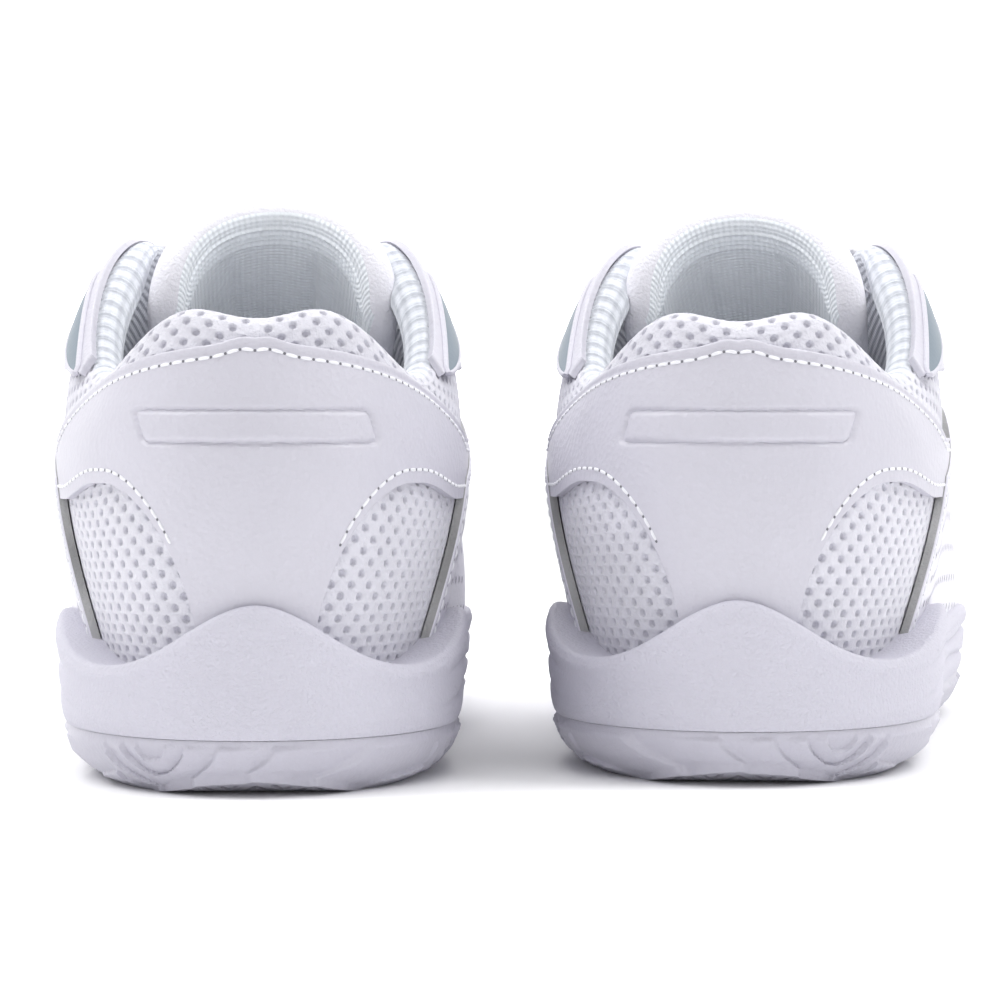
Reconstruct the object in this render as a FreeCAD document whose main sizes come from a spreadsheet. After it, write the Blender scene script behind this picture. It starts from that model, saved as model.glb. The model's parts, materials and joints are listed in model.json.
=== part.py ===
import FreeCAD, Part
import math
import os

# A pair of lace-up cheer shoes. All lengths are millimetres.
# One shoe is designed as a right shoe, heel at y = 0 and toe towards +y, its outer side towards +x.
# The left shoe is its mirror image. Both stand on z = 0, a little apart and slightly toe-out.

V = FreeCAD.Vector
doc = FreeCAD.newDocument("cheer_shoes")

# ---------------------------------------------------------------- driving dimensions
SIZES = {
    "heel_gap": 80.0,           # between the two heel centres
    "left_yaw": 2.5,            # degrees of toe-out
    "right_yaw": 5.6,
    "right_forward": 17.0,      # how far the right shoe stands ahead of the left one
    "mesh_thick": 2.0,          # spacer mesh of the upper
    "leather_thick": 1.4,       # synthetic leather overlays
    "quarter_thick": 2.0,       # the thicker side panels
    "counter_thick": 1.2,       # heel stiffener
    "puff_thick": 0.8,          # toe stiffener
    "lining_thick": 1.0,
    "foam_thick": 5.2,          # collar padding
    "layer_gap": 0.08,          # clearance between two layers
    "parting_high": 9.5,        # where the outsole meets the midsole
    "heel_high": 19.0,          # top of the midsole under the heel
    "ball_high": 14.0,          # and under the ball of the foot
    "board_thick": 2.0,
    "liner_thick": 4.0,
    "toe_lift": 9.0,            # toe spring at the tip
    "tongue_thick": 7.0,
    "tongue_cover": 1.0,
    "lace_wide": 7.0,
    "lace_thick": 1.4,
    "hole_wide": 4.6,           # lace holes in the eyestays
}
sheet = doc.addObject("Spreadsheet::Sheet", "sizes")
for row, (alias, value) in enumerate(SIZES.items(), start=1):
    sheet.set("A%d" % row, alias)
    sheet.set("B%d" % row, str(value))
    sheet.setAlias("B%d" % row, alias)
doc.recompute()


def size(alias):
    return float(sheet.get(alias))


# ---------------------------------------------------------------- the shape of the foot
# Ribs of the half shoe, from the toe round the outer side to the heel. Each rib is a Bezier curve with
# four points (x out, y forward, z up): the bottom edge, two shoulders, and the top edge or ridge.
RIBS = [
    ((0, 254, 14), (0, 259, 28), (0, 248, 43), (0, 224, 44)),
    ((15, 250, 14), (17, 254, 28), (13, 243, 44), (0, 217, 47)),
    ((28, 236, 14), (31, 239, 29), (24, 229, 47), (0, 207, 51)),
    ((37, 214, 14), (41, 215, 31), (31, 209, 52), (0, 195, 57)),
    ((40.5, 187, 14), (44.5, 188, 33), (34, 183, 58), (0, 181, 63)),
    ((40, 160, 14.5), (44, 161, 35), (35, 159, 64), (5.5, 163, 68)),
    ((37, 130, 16), (41.5, 131, 38), (37, 134, 74), (12, 140, 79)),
    ((33, 102, 17.5), (38.5, 101, 40), (39, 106, 80), (17, 115, 91)),
    ((30.5, 80, 18), (36, 78, 40), (40, 84, 82), (24, 97, 100)),
    ((29, 61, 18.5), (34, 59, 38), (42.5, 64, 68), (31, 76, 88)),
    ((27.5, 43, 19), (32, 40, 38), (39.5, 42, 58), (30, 50, 69)),
    ((23, 24, 19), (27.5, 20, 38), (30.5, 20, 60), (24.5, 28, 71)),
    ((13.5, 8.5, 19), (16.5, 3.5, 38), (18, 2, 63), (14.5, 8, 84)),
    ((0, 3.5, 19), (0, -1.5, 40), (0, -3, 63), (0, 4, 76.5)),
]
# The sole at the same ribs: its widest line (x, y), and the height of the midsole's rim, with its toe wrap,
# its dips and waves along the side and its crest at the back.
SOLE = [(0, 263, 26), (17, 259, 23.5), (31, 243, 20.5), (41, 219, 20), (45, 190, 21), (44.5, 160, 24),
        (41, 130, 24), (38, 102, 23), (37, 80, 25), (36.8, 60, 30), (36.2, 40, 26), (31.2, 19, 20.5),
        (18, 2, 21.5), (0, -3, 37)]
HALF = len(RIBS) - 1
FULL = 2 * HALF
THROAT_TRIM = 1.0
# Ground contact runs flat between these two distances from the heel.
FLAT_START, FLAT_END = 16.0, 185.0


def bump(value, centre, spread):
    return math.exp(-((value - centre) / spread) ** 2)


def step(value, start, end):
    """Smooth rise from 0 to 1 between two values, in either order."""
    f = min(1.0, max(0.0, (value - start) / (end - start)))
    return f * f * (3 - 2 * f)


def shape_foot(point):
    """Gives a symmetric half shoe its arch, its inward toe and its toe spring."""
    x, y, z = point
    if x < 0:
        x *= 1 - 0.07 * bump(y, 108, 34) - 0.10 * bump(y, 182, 36)
    if y > 150:
        x -= 8.0 * ((y - 150) / 112.0) ** 2
    return V(x, y, z + toe_spring(y))


def toe_spring(y):
    return size("toe_lift") * max(0.0, (y - FLAT_END) / (SOLE[0][1] - FLAT_END)) ** 2


def bed(y):
    """Height of the midsole under the foot, before the toe spring."""
    return size("ball_high") + (size("heel_high") - size("ball_high")) * min(1.0, max(0.0, (185 - y) / 165.0))


def b_spline_weights(f):
    return ((1 - f) ** 3 / 6, (3 * f ** 3 - 6 * f ** 2 + 4) / 6,
            (-3 * f ** 3 + 3 * f ** 2 + 3 * f + 1) / 6, f ** 3 / 6)


def mirrored(table, index):
    """Entry of a half table, continued past both ends as a mirror image in x."""
    if index < 0:
        index, side = -index, -1
    elif index > HALF:
        index, side = FULL - index, -1
    else:
        side = 1
    row = table[index]
    if isinstance(row[0], tuple):
        return [(side * p[0],) + p[1:] for p in row]
    return (side * row[0],) + row[1:]


def along(table, s):
    """A smooth point, or list of points, of a half table at rib position s, from 0 to HALF."""
    k = min(int(s), HALF - 1)
    rows = [mirrored(table, k + j) for j in (-1, 0, 1, 2)]
    weights = b_spline_weights(s - k)
    if isinstance(rows[0], list):
        return [tuple(sum(w * r[p][c] for w, r in zip(weights, rows)) for c in range(3)) for p in range(4)]
    return tuple(sum(w * r[c] for w, r in zip(weights, rows)) for c in range(len(rows[0])))


def bare_surface(s, t):
    c = along(RIBS, s)
    c[0] = (c[0][0], c[0][1], bed(c[0][1]) + size("layer_gap"))
    trim = THROAT_TRIM * min(1.0, max(0.0, (7 - s) / 2.5))
    c[3] = (max(0.0, c[3][0] - trim),) + c[3][1:]
    w = ((1 - t) ** 3, 3 * t * (1 - t) ** 2, 3 * t * t * (1 - t), t ** 3)
    return V(*[sum(w[p] * c[p][k] for p in range(4)) for k in range(3)])


STEP = 0.01


def skin(s, t, out):
    """Point of the upper at rib position s (0 toe, HALF heel, FULL toe again by the inner side), height t
    from 0 to 1, and out millimetres outside the mesh."""
    s = s % FULL
    side = 1
    if s > HALF:
        s, side = FULL - s, -1
    here = bare_surface(s, t)
    s0, s1 = max(0.0, s - STEP), min(float(HALF), s + STEP)
    t0, t1 = max(0.0, t - STEP), min(1.0, t + STEP)
    ds = bare_surface(s1, t) - bare_surface(s0, t)
    dt = bare_surface(s, t1) - bare_surface(s, t0)
    if here.x < 0.02 and (s < 4.5 or s > HALF - 0.02):
        # On the plane of symmetry the surface runs straight across.
        ds.x = dt.x = 0
        normal = (dt if dt.Length / (t1 - t0) > ds.Length / (s1 - s0) else ds).cross(V(1, 0, 0))
    else:
        normal = dt.cross(ds)
    normal.normalize()
    # Both directions of the grid run together where the ridge meets the tip of the toe.
    tip = step(s, 1.2, 0.2) * step(t, 0.75, 0.95)
    if tip > 0:
        flat = V(0, -dt.z, dt.y) if dt.Length > 0 else V(0, 0, 1)
        flat.normalize()
        flat = -flat if flat.z < 0 else flat
        normal = (-normal if normal.z < 0 else normal) * (1 - tip) + flat * tip
        normal.normalize()
    middle = V(0, min(max(here.y, 30), 215), 30)
    if normal.dot(here - middle) < 0:
        normal = -normal
    p = here + normal * out
    return shape_foot((side * p.x, p.y, p.z))


# ---------------------------------------------------------------- building blocks
def even_knots(count, degree):
    """Knots and multiplicities of a clamped, evenly spaced B-spline with that many poles."""
    spans = count - degree
    return list(range(spans + 1)), [degree + 1] + [1] * (spans - 1) + [degree + 1]


def sharpened(points):
    """Moves each inner point of a row outwards, so that the smooth curve it controls passes by its points."""
    made = list(points)
    for i in range(2, len(points) - 2):
        made[i] = points[i] - (points[i - 1] - points[i] * 2 + points[i + 1]) * (1 / 6)
    return made


def surface(points):
    """Smooth face that passes by a grid of points and ends on its border rows."""
    points = [sharpened(row) for row in points]
    points = [list(row) for row in zip(*[sharpened(column) for column in zip(*points)])]
    u_degree, v_degree = min(3, len(points) - 1), min(3, len(points[0]) - 1)
    u_knots, u_mults = even_knots(len(points), u_degree)
    v_knots, v_mults = even_knots(len(points[0]), v_degree)
    made = Part.BSplineSurface()
    made.buildFromPolesMultsKnots(points, u_mults, v_mults, u_knots, v_knots, False, False,
                                  u_degree, v_degree)
    return made.toShape()


def curve(points):
    points = sharpened(points)
    degree = min(3, len(points) - 1)
    knots, mults = even_knots(len(points), degree)
    made = Part.BSplineCurve()
    made.buildFromPolesMultsKnots(points, mults, knots, False, degree)
    return made.toShape()


def sewn(faces, tolerance=0.02):
    shell = Part.Shell(faces)
    shell.sewShape()
    solid = Part.Solid(Part.Shell(shell.Faces))
    if not solid.isValid():
        solid.fix(tolerance, tolerance, tolerance)
    if solid.Volume < 0:
        solid.reverse()
    return solid


def rim(points):
    """The four border rows of a grid."""
    return [points[0], points[-1], [row[0] for row in points], [row[-1] for row in points]]


def grid_solid(outer, inner):
    """Closed solid between two grids of points of the same size."""
    return sewn([surface(outer), surface(inner)] + [surface([a, b]) for a, b in zip(rim(outer), rim(inner))])


def as_function(value):
    return value if callable(value) else (lambda *_: value)


def patch(s_low, s_high, t_low, t_high, out, deep, cols=25, rows=9):
    """Panel of the upper between two rib positions (functions of 0..1 up the panel) and two heights
    (functions of 0..1 along it), from deep to out millimetres outside the mesh."""
    s_low, s_high, t_low, t_high = (as_function(f) for f in (s_low, s_high, t_low, t_high))
    out, deep = as_function(out), as_function(deep)

    def grid(d):
        made = []
        for j in range(rows):
            b = j / (rows - 1)
            line = []
            for i in range(cols):
                a = i / (cols - 1)
                s = s_low(b) * (1 - a) + s_high(b) * a
                t = t_low(a) * (1 - b) + t_high(a) * b
                line.append(skin(s, t, d(s, t)))
            made.append(line)
        return made
    return grid_solid(grid(out), grid(deep))


# ---------------------------------------------------------------- sole
# Inset of the sole's wall from its widest line, by height above the ground contact.
WALL = [(0, 8.5), (2, 5.4), (4.5, 3.2), (8, 1.6), (12, 0.7), (18, 0.2), (24, 0.0), (30, 0.2), (44, 1.6)]
HEEL_BEVEL = 3.5
# Control points of the surface that trims the midsole's rim, across and along the shoe.
RIM_COLUMNS, RIM_ROWS = 25, 61
SOLE_LEVELS = (0, 1.2, 3, 5.5, 8.5, 12, 17, 24, 31, 40, 50)
# Heights at which the foot's space in the sole is drawn, its clearance, and the gap under board and liner.
FOOT_LEVELS = (8, 14, 18, 22, 26, 31, 37, 44, 52)
FIT, LAYING_GAP = 0.3, 0.1
# Reach of the cutting solids, past the shoe on every side.
REACH, LOW, LONG = 90, -30, (-20, 290)


def interpolate(table, x):
    """Straight-line value of a table of (x, value) pairs."""
    if x <= table[0][0]:
        return table[0][1]
    for (x0, y0), (x1, y1) in zip(table, table[1:]):
        if x <= x1:
            return y0 + (y1 - y0) * (x - x0) / (x1 - x0)
    return table[-1][1]


def around(step=0.5):
    """Rib positions right round the shoe, toe to toe."""
    return [i * step for i in range(int(FULL / step))]


def sole_point(s, inset):
    side = 1
    if s > HALF:
        s, side = FULL - s, -1
    x, y, _ = along(SOLE, s)
    x0, y0, _ = along(SOLE, max(0.0, s - STEP))
    x1, y1, _ = along(SOLE, min(float(HALF), s + STEP))
    if x < 0.02:
        outward = (0.0, 1.0 if y > 100 else -1.0)
    else:
        length = math.hypot(x1 - x0, y1 - y0)
        outward = ((y0 - y1) / length, (x1 - x0) / length)
    return side * (x - outward[0] * inset), y - outward[1] * inset


def rim_height(s):
    s = s % FULL
    return along(SOLE, s if s <= HALF else FULL - s)[2]


def stack(rings):
    """Solid through closed rings of points, each flat, from the lowest to the highest."""
    closed = [ring + ring[:1] for ring in rings]
    caps = [Part.Face(Part.Wire([curve(ring)])) for ring in (closed[0], closed[-1])]
    return sewn([surface(closed)] + caps)


def sole_ring(z):
    points = []
    for s in around():
        tip = sole_point(s, 0)
        x, y = sole_point(s, interpolate(WALL, z - toe_spring(tip[1])))
        p = shape_foot((x, y, 0))
        points.append(V(p.x, p.y, z))
    return points


def sole_blank():
    return stack([sole_ring(z) for z in SOLE_LEVELS])


def side_prism(edges, corners):
    """Solid across the whole shoe between a side profile's edges, end to end, and straight corners."""
    lines = [Part.makeLine(a, b) for a, b in zip(corners, corners[1:])]
    return Part.Face(Part.Wire(edges + lines)).extrude(V(2 * REACH, 0, 0))


def profile(height_at, start, end):
    count = int((end - start) / 6) + 2
    places = [start + (end - start) * i / (count - 1) for i in range(count)]
    return [V(-REACH, y, height_at(y)) for y in places]


def under_profile(height_at):
    """Solid under a side profile: everything below height_at(y)."""
    top = profile(height_at, *LONG)
    return side_prism([curve(top)], [top[-1], V(-REACH, LONG[1], LOW), V(-REACH, LONG[0], LOW), top[0]])


def under_ground():
    """Solid of everything below the outsole: flat in the middle, rising at heel and toe."""
    heel = profile(lambda y: HEEL_BEVEL * ((FLAT_START - y) / FLAT_START) ** 2, LONG[0], FLAT_START)
    toe = profile(toe_spring, FLAT_END, LONG[1])
    return side_prism([curve(heel), Part.makeLine(heel[-1], toe[0]), curve(toe)],
                      [toe[-1], V(-REACH, LONG[1], LOW), V(-REACH, LONG[0], LOW), heel[0]])


def foot_slice(z, out):
    """Closed ring of points round the upper at height z, out millimetres outside the mesh."""
    points = []
    for s in around():
        low, high = 0.0, 0.6
        if skin(s, 0.0, out).z < z:
            for _ in range(18):
                t = (low + high) / 2
                low, high = (t, high) if skin(s, t, out).z < z else (low, t)
        else:
            high = 0.0
        p = skin(s, high, out)
        points.append(V(p.x, p.y, z))
    return points


def foot_core(out, levels):
    return stack([foot_slice(z, out) for z in levels])


def nearest_rim(x, y, outline):
    return min(outline, key=lambda p: (p.x - x) ** 2 + (p.y - y) ** 2).z


def above_rim():
    """Solid of everything above the midsole's wavy rim."""
    outline = []
    for s in around(0.1):
        x, y = sole_point(s, 2)
        outline.append(shape_foot((x, y, rim_height(s))))
    grids = [[], []]
    for i in range(RIM_COLUMNS):
        x = -60 + 120 * i / (RIM_COLUMNS - 1)
        rows = [-16 + 296 * j / (RIM_ROWS - 1) for j in range(RIM_ROWS)]
        grids[0].append([V(x, y, nearest_rim(x, y, outline)) for y in rows])
        grids[1].append([V(x, y, 2 * REACH) for y in rows])
    return grid_solid(grids[1], grids[0])


def between(solid, low, high):
    """The slice of a solid between two side profiles."""
    return solid.cut(under_profile(low)).common(under_profile(high))


def sole_parts():
    """Outsole, midsole, insole board and sock liner."""
    def parting(y):
        return size("parting_high") + toe_spring(y) * 0.9

    def floor(y):
        return bed(y) + toe_spring(y)

    def board_top(y):
        return floor(y) + size("board_thick")

    def liner_top(y):
        return board_top(y) + size("liner_thick")
    blank = sole_blank().cut(under_ground())
    outsole = blank.common(under_profile(parting))
    cavity = foot_core(size("quarter_thick") + FIT, FOOT_LEVELS).cut(under_profile(floor))
    midsole = blank.cut(under_profile(parting)).cut(cavity).cut(above_rim())
    inner = foot_core(-(COUNTER_DEEP + size("lining_thick") + FIT), FOOT_LEVELS)
    board = between(inner, lambda y: floor(y) + LAYING_GAP, board_top)
    liner = between(inner, lambda y: board_top(y) + LAYING_GAP, liner_top)
    return {"outsole": outsole, "midsole": midsole, "insole_board": board, "sock_liner": liner}


# ---------------------------------------------------------------- upper
# Depths below the mesh's outer face.
MESH_DEEP = size("mesh_thick")
UNDER_MESH = MESH_DEEP + size("layer_gap")
COUNTER_DEEP = UNDER_MESH + size("counter_thick")
VAMP_END = 4.0
HEEL_SEAM = 0.02
OVER_MESH = size("layer_gap")
HEEL_REACH = 2.72               # ribs from the heel to the end of each arm of the heel panel
FOAM_SLACK = 0.35               # between the padding and the lining pulled over it
EYESTAY_GAP = 0.25              # the strip along the laces curves more than the others


def other(s):
    """The same rib on the shoe's inner side."""
    return FULL - s


def rib_height(s, z):
    """The t at which a rib reaches height z."""
    low, high = 0.0, 1.0
    for _ in range(16):
        t = (low + high) / 2
        low, high = (t, high) if skin(s, t, 0).z < z else (low, t)
    return low


def collar(s):
    """1 along the padded collar at the back of the shoe, thinner at its ears, 0 at the laces."""
    from_heel = abs(s - HALF)
    return step(from_heel, 5.3, 4.2) * (1 - 0.45 * step(from_heel, 2.2, 4.0))


def foam_depth(s, t):
    return size("foam_thick") * collar(s) * step(t, 0.5, 0.72) * (1 - 0.7 * step(t, 0.86, 1.0))


def lining_top(s, t):
    stiffener = (size("counter_thick") + OVER_MESH) * step(abs(s - HALF), 4.3, 3.4) * step(t, 0.72, 0.6)
    return -(UNDER_MESH + OVER_MESH + max(stiffener, foam_depth(s, t)))


def quarter_mesh(lateral):
    ends = (VAMP_END + 0.06, HALF - HEEL_SEAM)
    ends = ends if lateral else (other(ends[1]), other(ends[0]))
    return patch(ends[0], ends[1], 0, 1, 0, -MESH_DEEP, cols=49, rows=13)


def vamp_mesh():
    """Front of the upper: two half grids that meet along the ridge over the toes."""
    rows, cols = 13, 21
    faces = []
    for depth in (0, -MESH_DEEP):
        for side in (1, -1):
            faces.append([[skin(side * VAMP_END * i / (cols - 1), j / (rows - 1), depth) for i in range(cols)]
                          for j in range(rows)])
    made = [surface(grid) for grid in faces]
    for outer, inner in ((faces[0], faces[2]), (faces[1], faces[3])):
        made.append(surface([outer[0], inner[0]]))
        made.append(surface([[row[-1] for row in outer], [row[-1] for row in inner]]))
    return sewn(made)


def heel_overlay():
    """Leather on the heel: two arms under the collar and a stem down the middle, over the mesh."""
    def top(a):
        from_heel = abs(2 * a - 1) * HEEL_REACH
        z = 74.5 - 1.6 * from_heel ** 1.9 + bump(from_heel, 0.12, 0.2)
        return rib_height(HALF + (2 * a - 1) * HEEL_REACH, z)

    def bottom(a):
        from_heel = abs(2 * a - 1) * HEEL_REACH
        across = min(1.0, max(0.0, (1.75 - from_heel) / 1.13))
        arch = 21 + 30.5 * math.sqrt(1 - across ** 2) - 3 * step(from_heel, 1.9, 2.9)
        return max(0.01, rib_height(HALF + (2 * a - 1) * HEEL_REACH, arch) * step(from_heel, 0.5, 0.75))
    return patch(HALF - HEEL_REACH, HALF + HEEL_REACH, bottom, top,
                 OVER_MESH + size("leather_thick"), OVER_MESH, cols=121)


def quarter_overlay(lateral):
    """Side panel, from its cut edge behind forward to the toes."""
    def rear(b):
        return 10.35 - 0.6 * b

    def front(b):
        return 4.9 + 1.2 * b

    def top(a):
        return 0.62 + 0.05 * a ** 3 - 0.05 * math.sin(math.pi * a)
    out, deep = OVER_MESH + size("quarter_thick"), OVER_MESH
    if lateral:
        return patch(front, rear, 0.01, top, out, deep, cols=41)
    return patch(lambda b: other(front(b)), lambda b: other(rear(b)), 0.01, top, out, deep, cols=41)


def eyestay(lateral):
    """Leather strip along the laces."""
    ends = (4.25, 8.1) if lateral else (other(4.25), other(8.1))
    return patch(ends[0], ends[1], lambda a: 0.8 - 0.1 * step(a, 0, 1), 0.99,
                 OVER_MESH + size("leather_thick"), EYESTAY_GAP, cols=61, rows=7)


def accent(lateral):
    """Glossy insert on the ear of the collar."""
    ends = (8.2, 9.7) if lateral else (other(8.2), other(9.7))
    return patch(ends[0], ends[1], lambda a: 0.72 + 0.04 * a, lambda a: 0.80 + 0.10 * a,
                 OVER_MESH + size("leather_thick"), OVER_MESH)


def upper_parts():
    leather = OVER_MESH + size("leather_thick")
    lining_deep = lambda s, t: lining_top(s, t) - size("lining_thick")
    return {
        "vamp_mesh": vamp_mesh(),
        "lateral_quarter_mesh": quarter_mesh(True),
        "medial_quarter_mesh": quarter_mesh(False),
        "heel_counter": patch(9.8, 16.2, 0.02, 0.55, -UNDER_MESH, -COUNTER_DEEP),
        "toe_puff": patch(-2.2, 2.2, 0.04, 0.7, -UNDER_MESH, -UNDER_MESH - size("puff_thick")),
        "collar_foam": patch(7.9, other(7.9), 0.585, 0.985, -UNDER_MESH,
                             lambda s, t: -UNDER_MESH - max(0.4, foam_depth(s, t) - FOAM_SLACK),
                             cols=81),
        "collar_lining": patch(VAMP_END + 0.1, other(VAMP_END + 0.1), 0.03, 0.985, lining_top, lining_deep,
                               cols=81, rows=17),
        "heel_overlay": heel_overlay(),
        "toe_overlay": patch(-3.6, 3.6, 0.01, lambda a: 0.3 + 0.18 * math.sin(math.pi * a),
                             leather, OVER_MESH),
        "lateral_quarter_overlay": quarter_overlay(True),
        "medial_quarter_overlay": quarter_overlay(False),
        "lateral_accent": accent(True),
        "medial_accent": accent(False),
    }


# ---------------------------------------------------------------- tongue and laces
TONGUE_LINE = [(186, 52), (150, 66), (114, 81), (92, 106)]
TONGUE_LEAN = 2.0


def tongue_point(a, b, depth):
    """Point of the tongue: a from 0 at its base to 1 at its top, b from -1 to 1 across it, and depth
    millimetres below its face."""
    a *= 1 - 0.1 * b ** 4
    w = ((1 - a) ** 3, 3 * a * (1 - a) ** 2, 3 * a * a * (1 - a), a ** 3)
    y, z = (sum(w[i] * TONGUE_LINE[i][k] for i in range(4)) for k in (0, 1))
    d = (3 * (1 - a) ** 2, 6 * a * (1 - a), 3 * a * a)
    dy, dz = (sum(d[i] * (TONGUE_LINE[i + 1][k] - TONGUE_LINE[i][k]) for i in range(3)) for k in (0, 1))
    length = math.hypot(dy, dz)
    up = V(0, dz / length, -dy / length)
    radius = 34 - 10 * step(a, 0, 0.8)
    angle = math.radians(38 + 42 * step(a, 0.1, 1.0)) * b
    bend = radius - depth
    centre = V(-TONGUE_LEAN * a * a, y, z) - up * radius
    p = centre + up * (bend * math.cos(angle)) + V(bend * math.sin(angle), 0, 0)
    return shape_foot((p.x, p.y, p.z))


def tongue_layer(depth_out, depth_in, inset=0.0, cols=25, rows=17):
    def grid(depth):
        return [[tongue_point(inset / 90 + (1 - inset / 45) * i / (cols - 1),
                              (2 * j / (rows - 1) - 1) * (1 - inset / 30), depth)
                 for i in range(cols)] for j in range(rows)]
    return grid_solid(grid(depth_out), grid(depth_in))


def tongue_parts():
    cover, gap, thick = size("tongue_cover"), size("layer_gap"), size("tongue_thick")
    return {
        "tongue_shell": tongue_layer(0, cover),
        "tongue_foam": tongue_layer(cover + gap, thick - cover - gap, inset=1.2),
        "tongue_lining": tongue_layer(thick - cover, thick),
    }


HOLES = 6
HOLE_T = 0.9
FIRST_HOLE, LAST_HOLE = 4.8, 7.35       # their ribs
LACE_SLACK = 0.12
LACE_RISE = 1.6                 # of each bar's middle over the tongue
LACE_NARROW = 3.0               # the lace's width where it goes through a hole


def unit(vector):
    return vector * (1 / vector.Length)


def hole_axes(side):
    """Place, forward direction, inward direction and outward normal of each lace hole on one side."""
    made = []
    for i in range(HOLES):
        rib = FIRST_HOLE + (LAST_HOLE - FIRST_HOLE) * i / (HOLES - 1)
        at = [skin(side * r, HOLE_T, 0) for r in (rib - 0.2, rib, rib + 0.2)]
        up = unit(skin(side * rib, HOLE_T, 1) - at[1])
        along_laces = unit(at[0] - at[2])
        inward = unit(up.cross(along_laces)) * side
        made.append((rib, at[1], along_laces, inward, up))
    return made


def strip(path):
    """Flat band through (centre, half width, half thickness) rows of vectors, with square corners."""
    corners = [[c + u + v, c - u + v, c - u - v, c + u - v] for c, u, v in path]
    faces = [Part.Face(Part.makePolygon(end + end[:1])) for end in (corners[0], corners[-1])]
    for here, there in zip(corners, corners[1:]):
        for k in range(4):
            n = (k + 1) % 4
            edges = [Part.makeLine(end[k], end[n]) for end in (here, there)]
            faces.append(Part.makeRuledSurface(*edges))
    return sewn(faces)


def lace():
    """One flat lace: a bar over the tongue at each pair of holes, and runs under the leather between them."""
    wide, narrow, thick = size("lace_wide") / 2, LACE_NARROW / 2, size("lace_thick") / 2
    over = OVER_MESH + size("leather_thick") + LACE_SLACK + thick
    under = -(UNDER_MESH + OVER_MESH + size("lining_thick") + LACE_SLACK + thick)
    holes = {side: hole_axes(side) for side in (1, -1)}
    pieces = []
    for i in range(HOLES):
        ends = []
        for side in (1, -1):
            rib, at, ahead, inward, up = holes[side][i]
            ahead = ahead * side
            rows = [(at + up * (under - thick), ahead * narrow, inward * thick),
                    (at + up * (over - 1), ahead * narrow, inward * thick),
                    (at + up * over, ahead * narrow, (inward - up) * thick)]
            for t in (HOLE_T + 0.035, HOLE_T + 0.07, 1.0):
                rows.append((skin(side * rib, t, over), ahead * wide, up * -thick))
            ends.append(rows)
        (right, wide_u, _), (left, _, _) = ends[0][-1], ends[1][-1]
        rise = V(0, 0.4, 0.9)
        middle = [((right + left) * 0.5 + rise * LACE_RISE, wide_u, rise * -thick)]
        far = [(c, u * -1, v) for c, u, v in reversed(ends[1])]
        pieces.append(strip(ends[0] + middle + far))
        if i + 1 < HOLES:
            side = 1 if i % 2 == 0 else -1
            here, there = holes[side][i], holes[side][i + 1]
            ahead = unit(there[1] - here[1])
            rows = [(p[1] + p[4] * under + ahead * way, p[3] * narrow, p[4] * thick)
                    for p, way in ((here, -narrow), (there, narrow))]
            pieces.append(strip(rows))
    return pieces[0].multiFuse(pieces[1:])


# ---------------------------------------------------------------- the document
PIERCED = ("eyestay", "quarter_mesh", "collar_lining")
HOLE_REACH = 8.0


def shoe_shapes():
    shapes = sole_parts()
    shapes.update(upper_parts())
    shapes.update(lateral_eyestay=eyestay(True), medial_eyestay=eyestay(False))
    shapes.update(tongue_parts())
    shapes["lace"] = lace()
    return shapes


def drill(name, side, hand):
    """Cylinders of the lace holes on one side of a shoe, as objects bound to the hole's size."""
    tools = []
    for i, (_, at, _, _, up) in enumerate(hole_axes(side)):
        at, up = V(hand * at.x, at.y, at.z), V(hand * up.x, up.y, up.z)
        tool = doc.addObject("Part::Cylinder", "%s_%d" % (name, i))
        tool.setExpression("Radius", "sizes.hole_wide / 2")
        tool.Height = 2 * HOLE_REACH
        tool.Placement = FreeCAD.Placement(at - up * HOLE_REACH, FreeCAD.Rotation(V(0, 0, 1), up))
        tools.append(tool)
    return tools


def add_shoe(prefix, hand, shapes, placement):
    """Adds one shoe's objects; hand is 1 for the right shoe and -1 for its mirror image."""
    tools = {}
    for side, word in ((1, "lateral"), (-1, "medial")):
        tools[word] = drill("%s_%s_hole" % (prefix, word), side, hand)
    made = []
    for name, shape in shapes.items():
        if hand < 0:
            shape = shape.mirror(V(0, 0, 0), V(1, 0, 0))
        label = "%s_%s" % (prefix, name)
        if name.endswith(PIERCED):
            blank = doc.addObject("Part::Feature", label + "_blank")
            blank.Shape = shape
            punch = doc.addObject("Part::MultiFuse", label + "_punch")
            punch.Shapes = [t for word, group in tools.items() for t in group
                            if name.startswith(word) or name == "collar_lining"]
            node = doc.addObject("Part::Cut", label)
            node.Base, node.Tool = blank, punch
        else:
            node = doc.addObject("Part::Feature", label)
            node.Shape = shape
        node.Label = label
        node.Placement = placement
        made.append(node)
    return made


def shoe_placement(hand, shift=V(0, 0, 0)):
    yaw = -size("right_yaw") if hand > 0 else size("left_yaw")
    ahead = size("right_forward") if hand > 0 else 0.0
    at = V(hand * size("heel_gap") / 2, ahead, 0) + shift
    return FreeCAD.Placement(at, FreeCAD.Rotation(V(0, 0, 1), yaw))


def pair_shift(midsole):
    """Moves the middle of the pair's footprint to the origin."""
    both = []
    for hand in (1, -1):
        shape = midsole.copy() if hand > 0 else midsole.mirror(V(0, 0, 0), V(1, 0, 0))
        shape.Placement = shoe_placement(hand)
        both.append(shape)
    box = Part.makeCompound(both).optimalBoundingBox(False)
    return V(-box.Center.x, -box.Center.y, 0)


shapes = shoe_shapes()
shift = pair_shift(shapes["midsole"])
nodes = []
for prefix, hand in (("left", -1), ("right", 1)):
    nodes += add_shoe(prefix, hand, shapes, shoe_placement(hand, shift))
doc.recompute()

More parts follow.
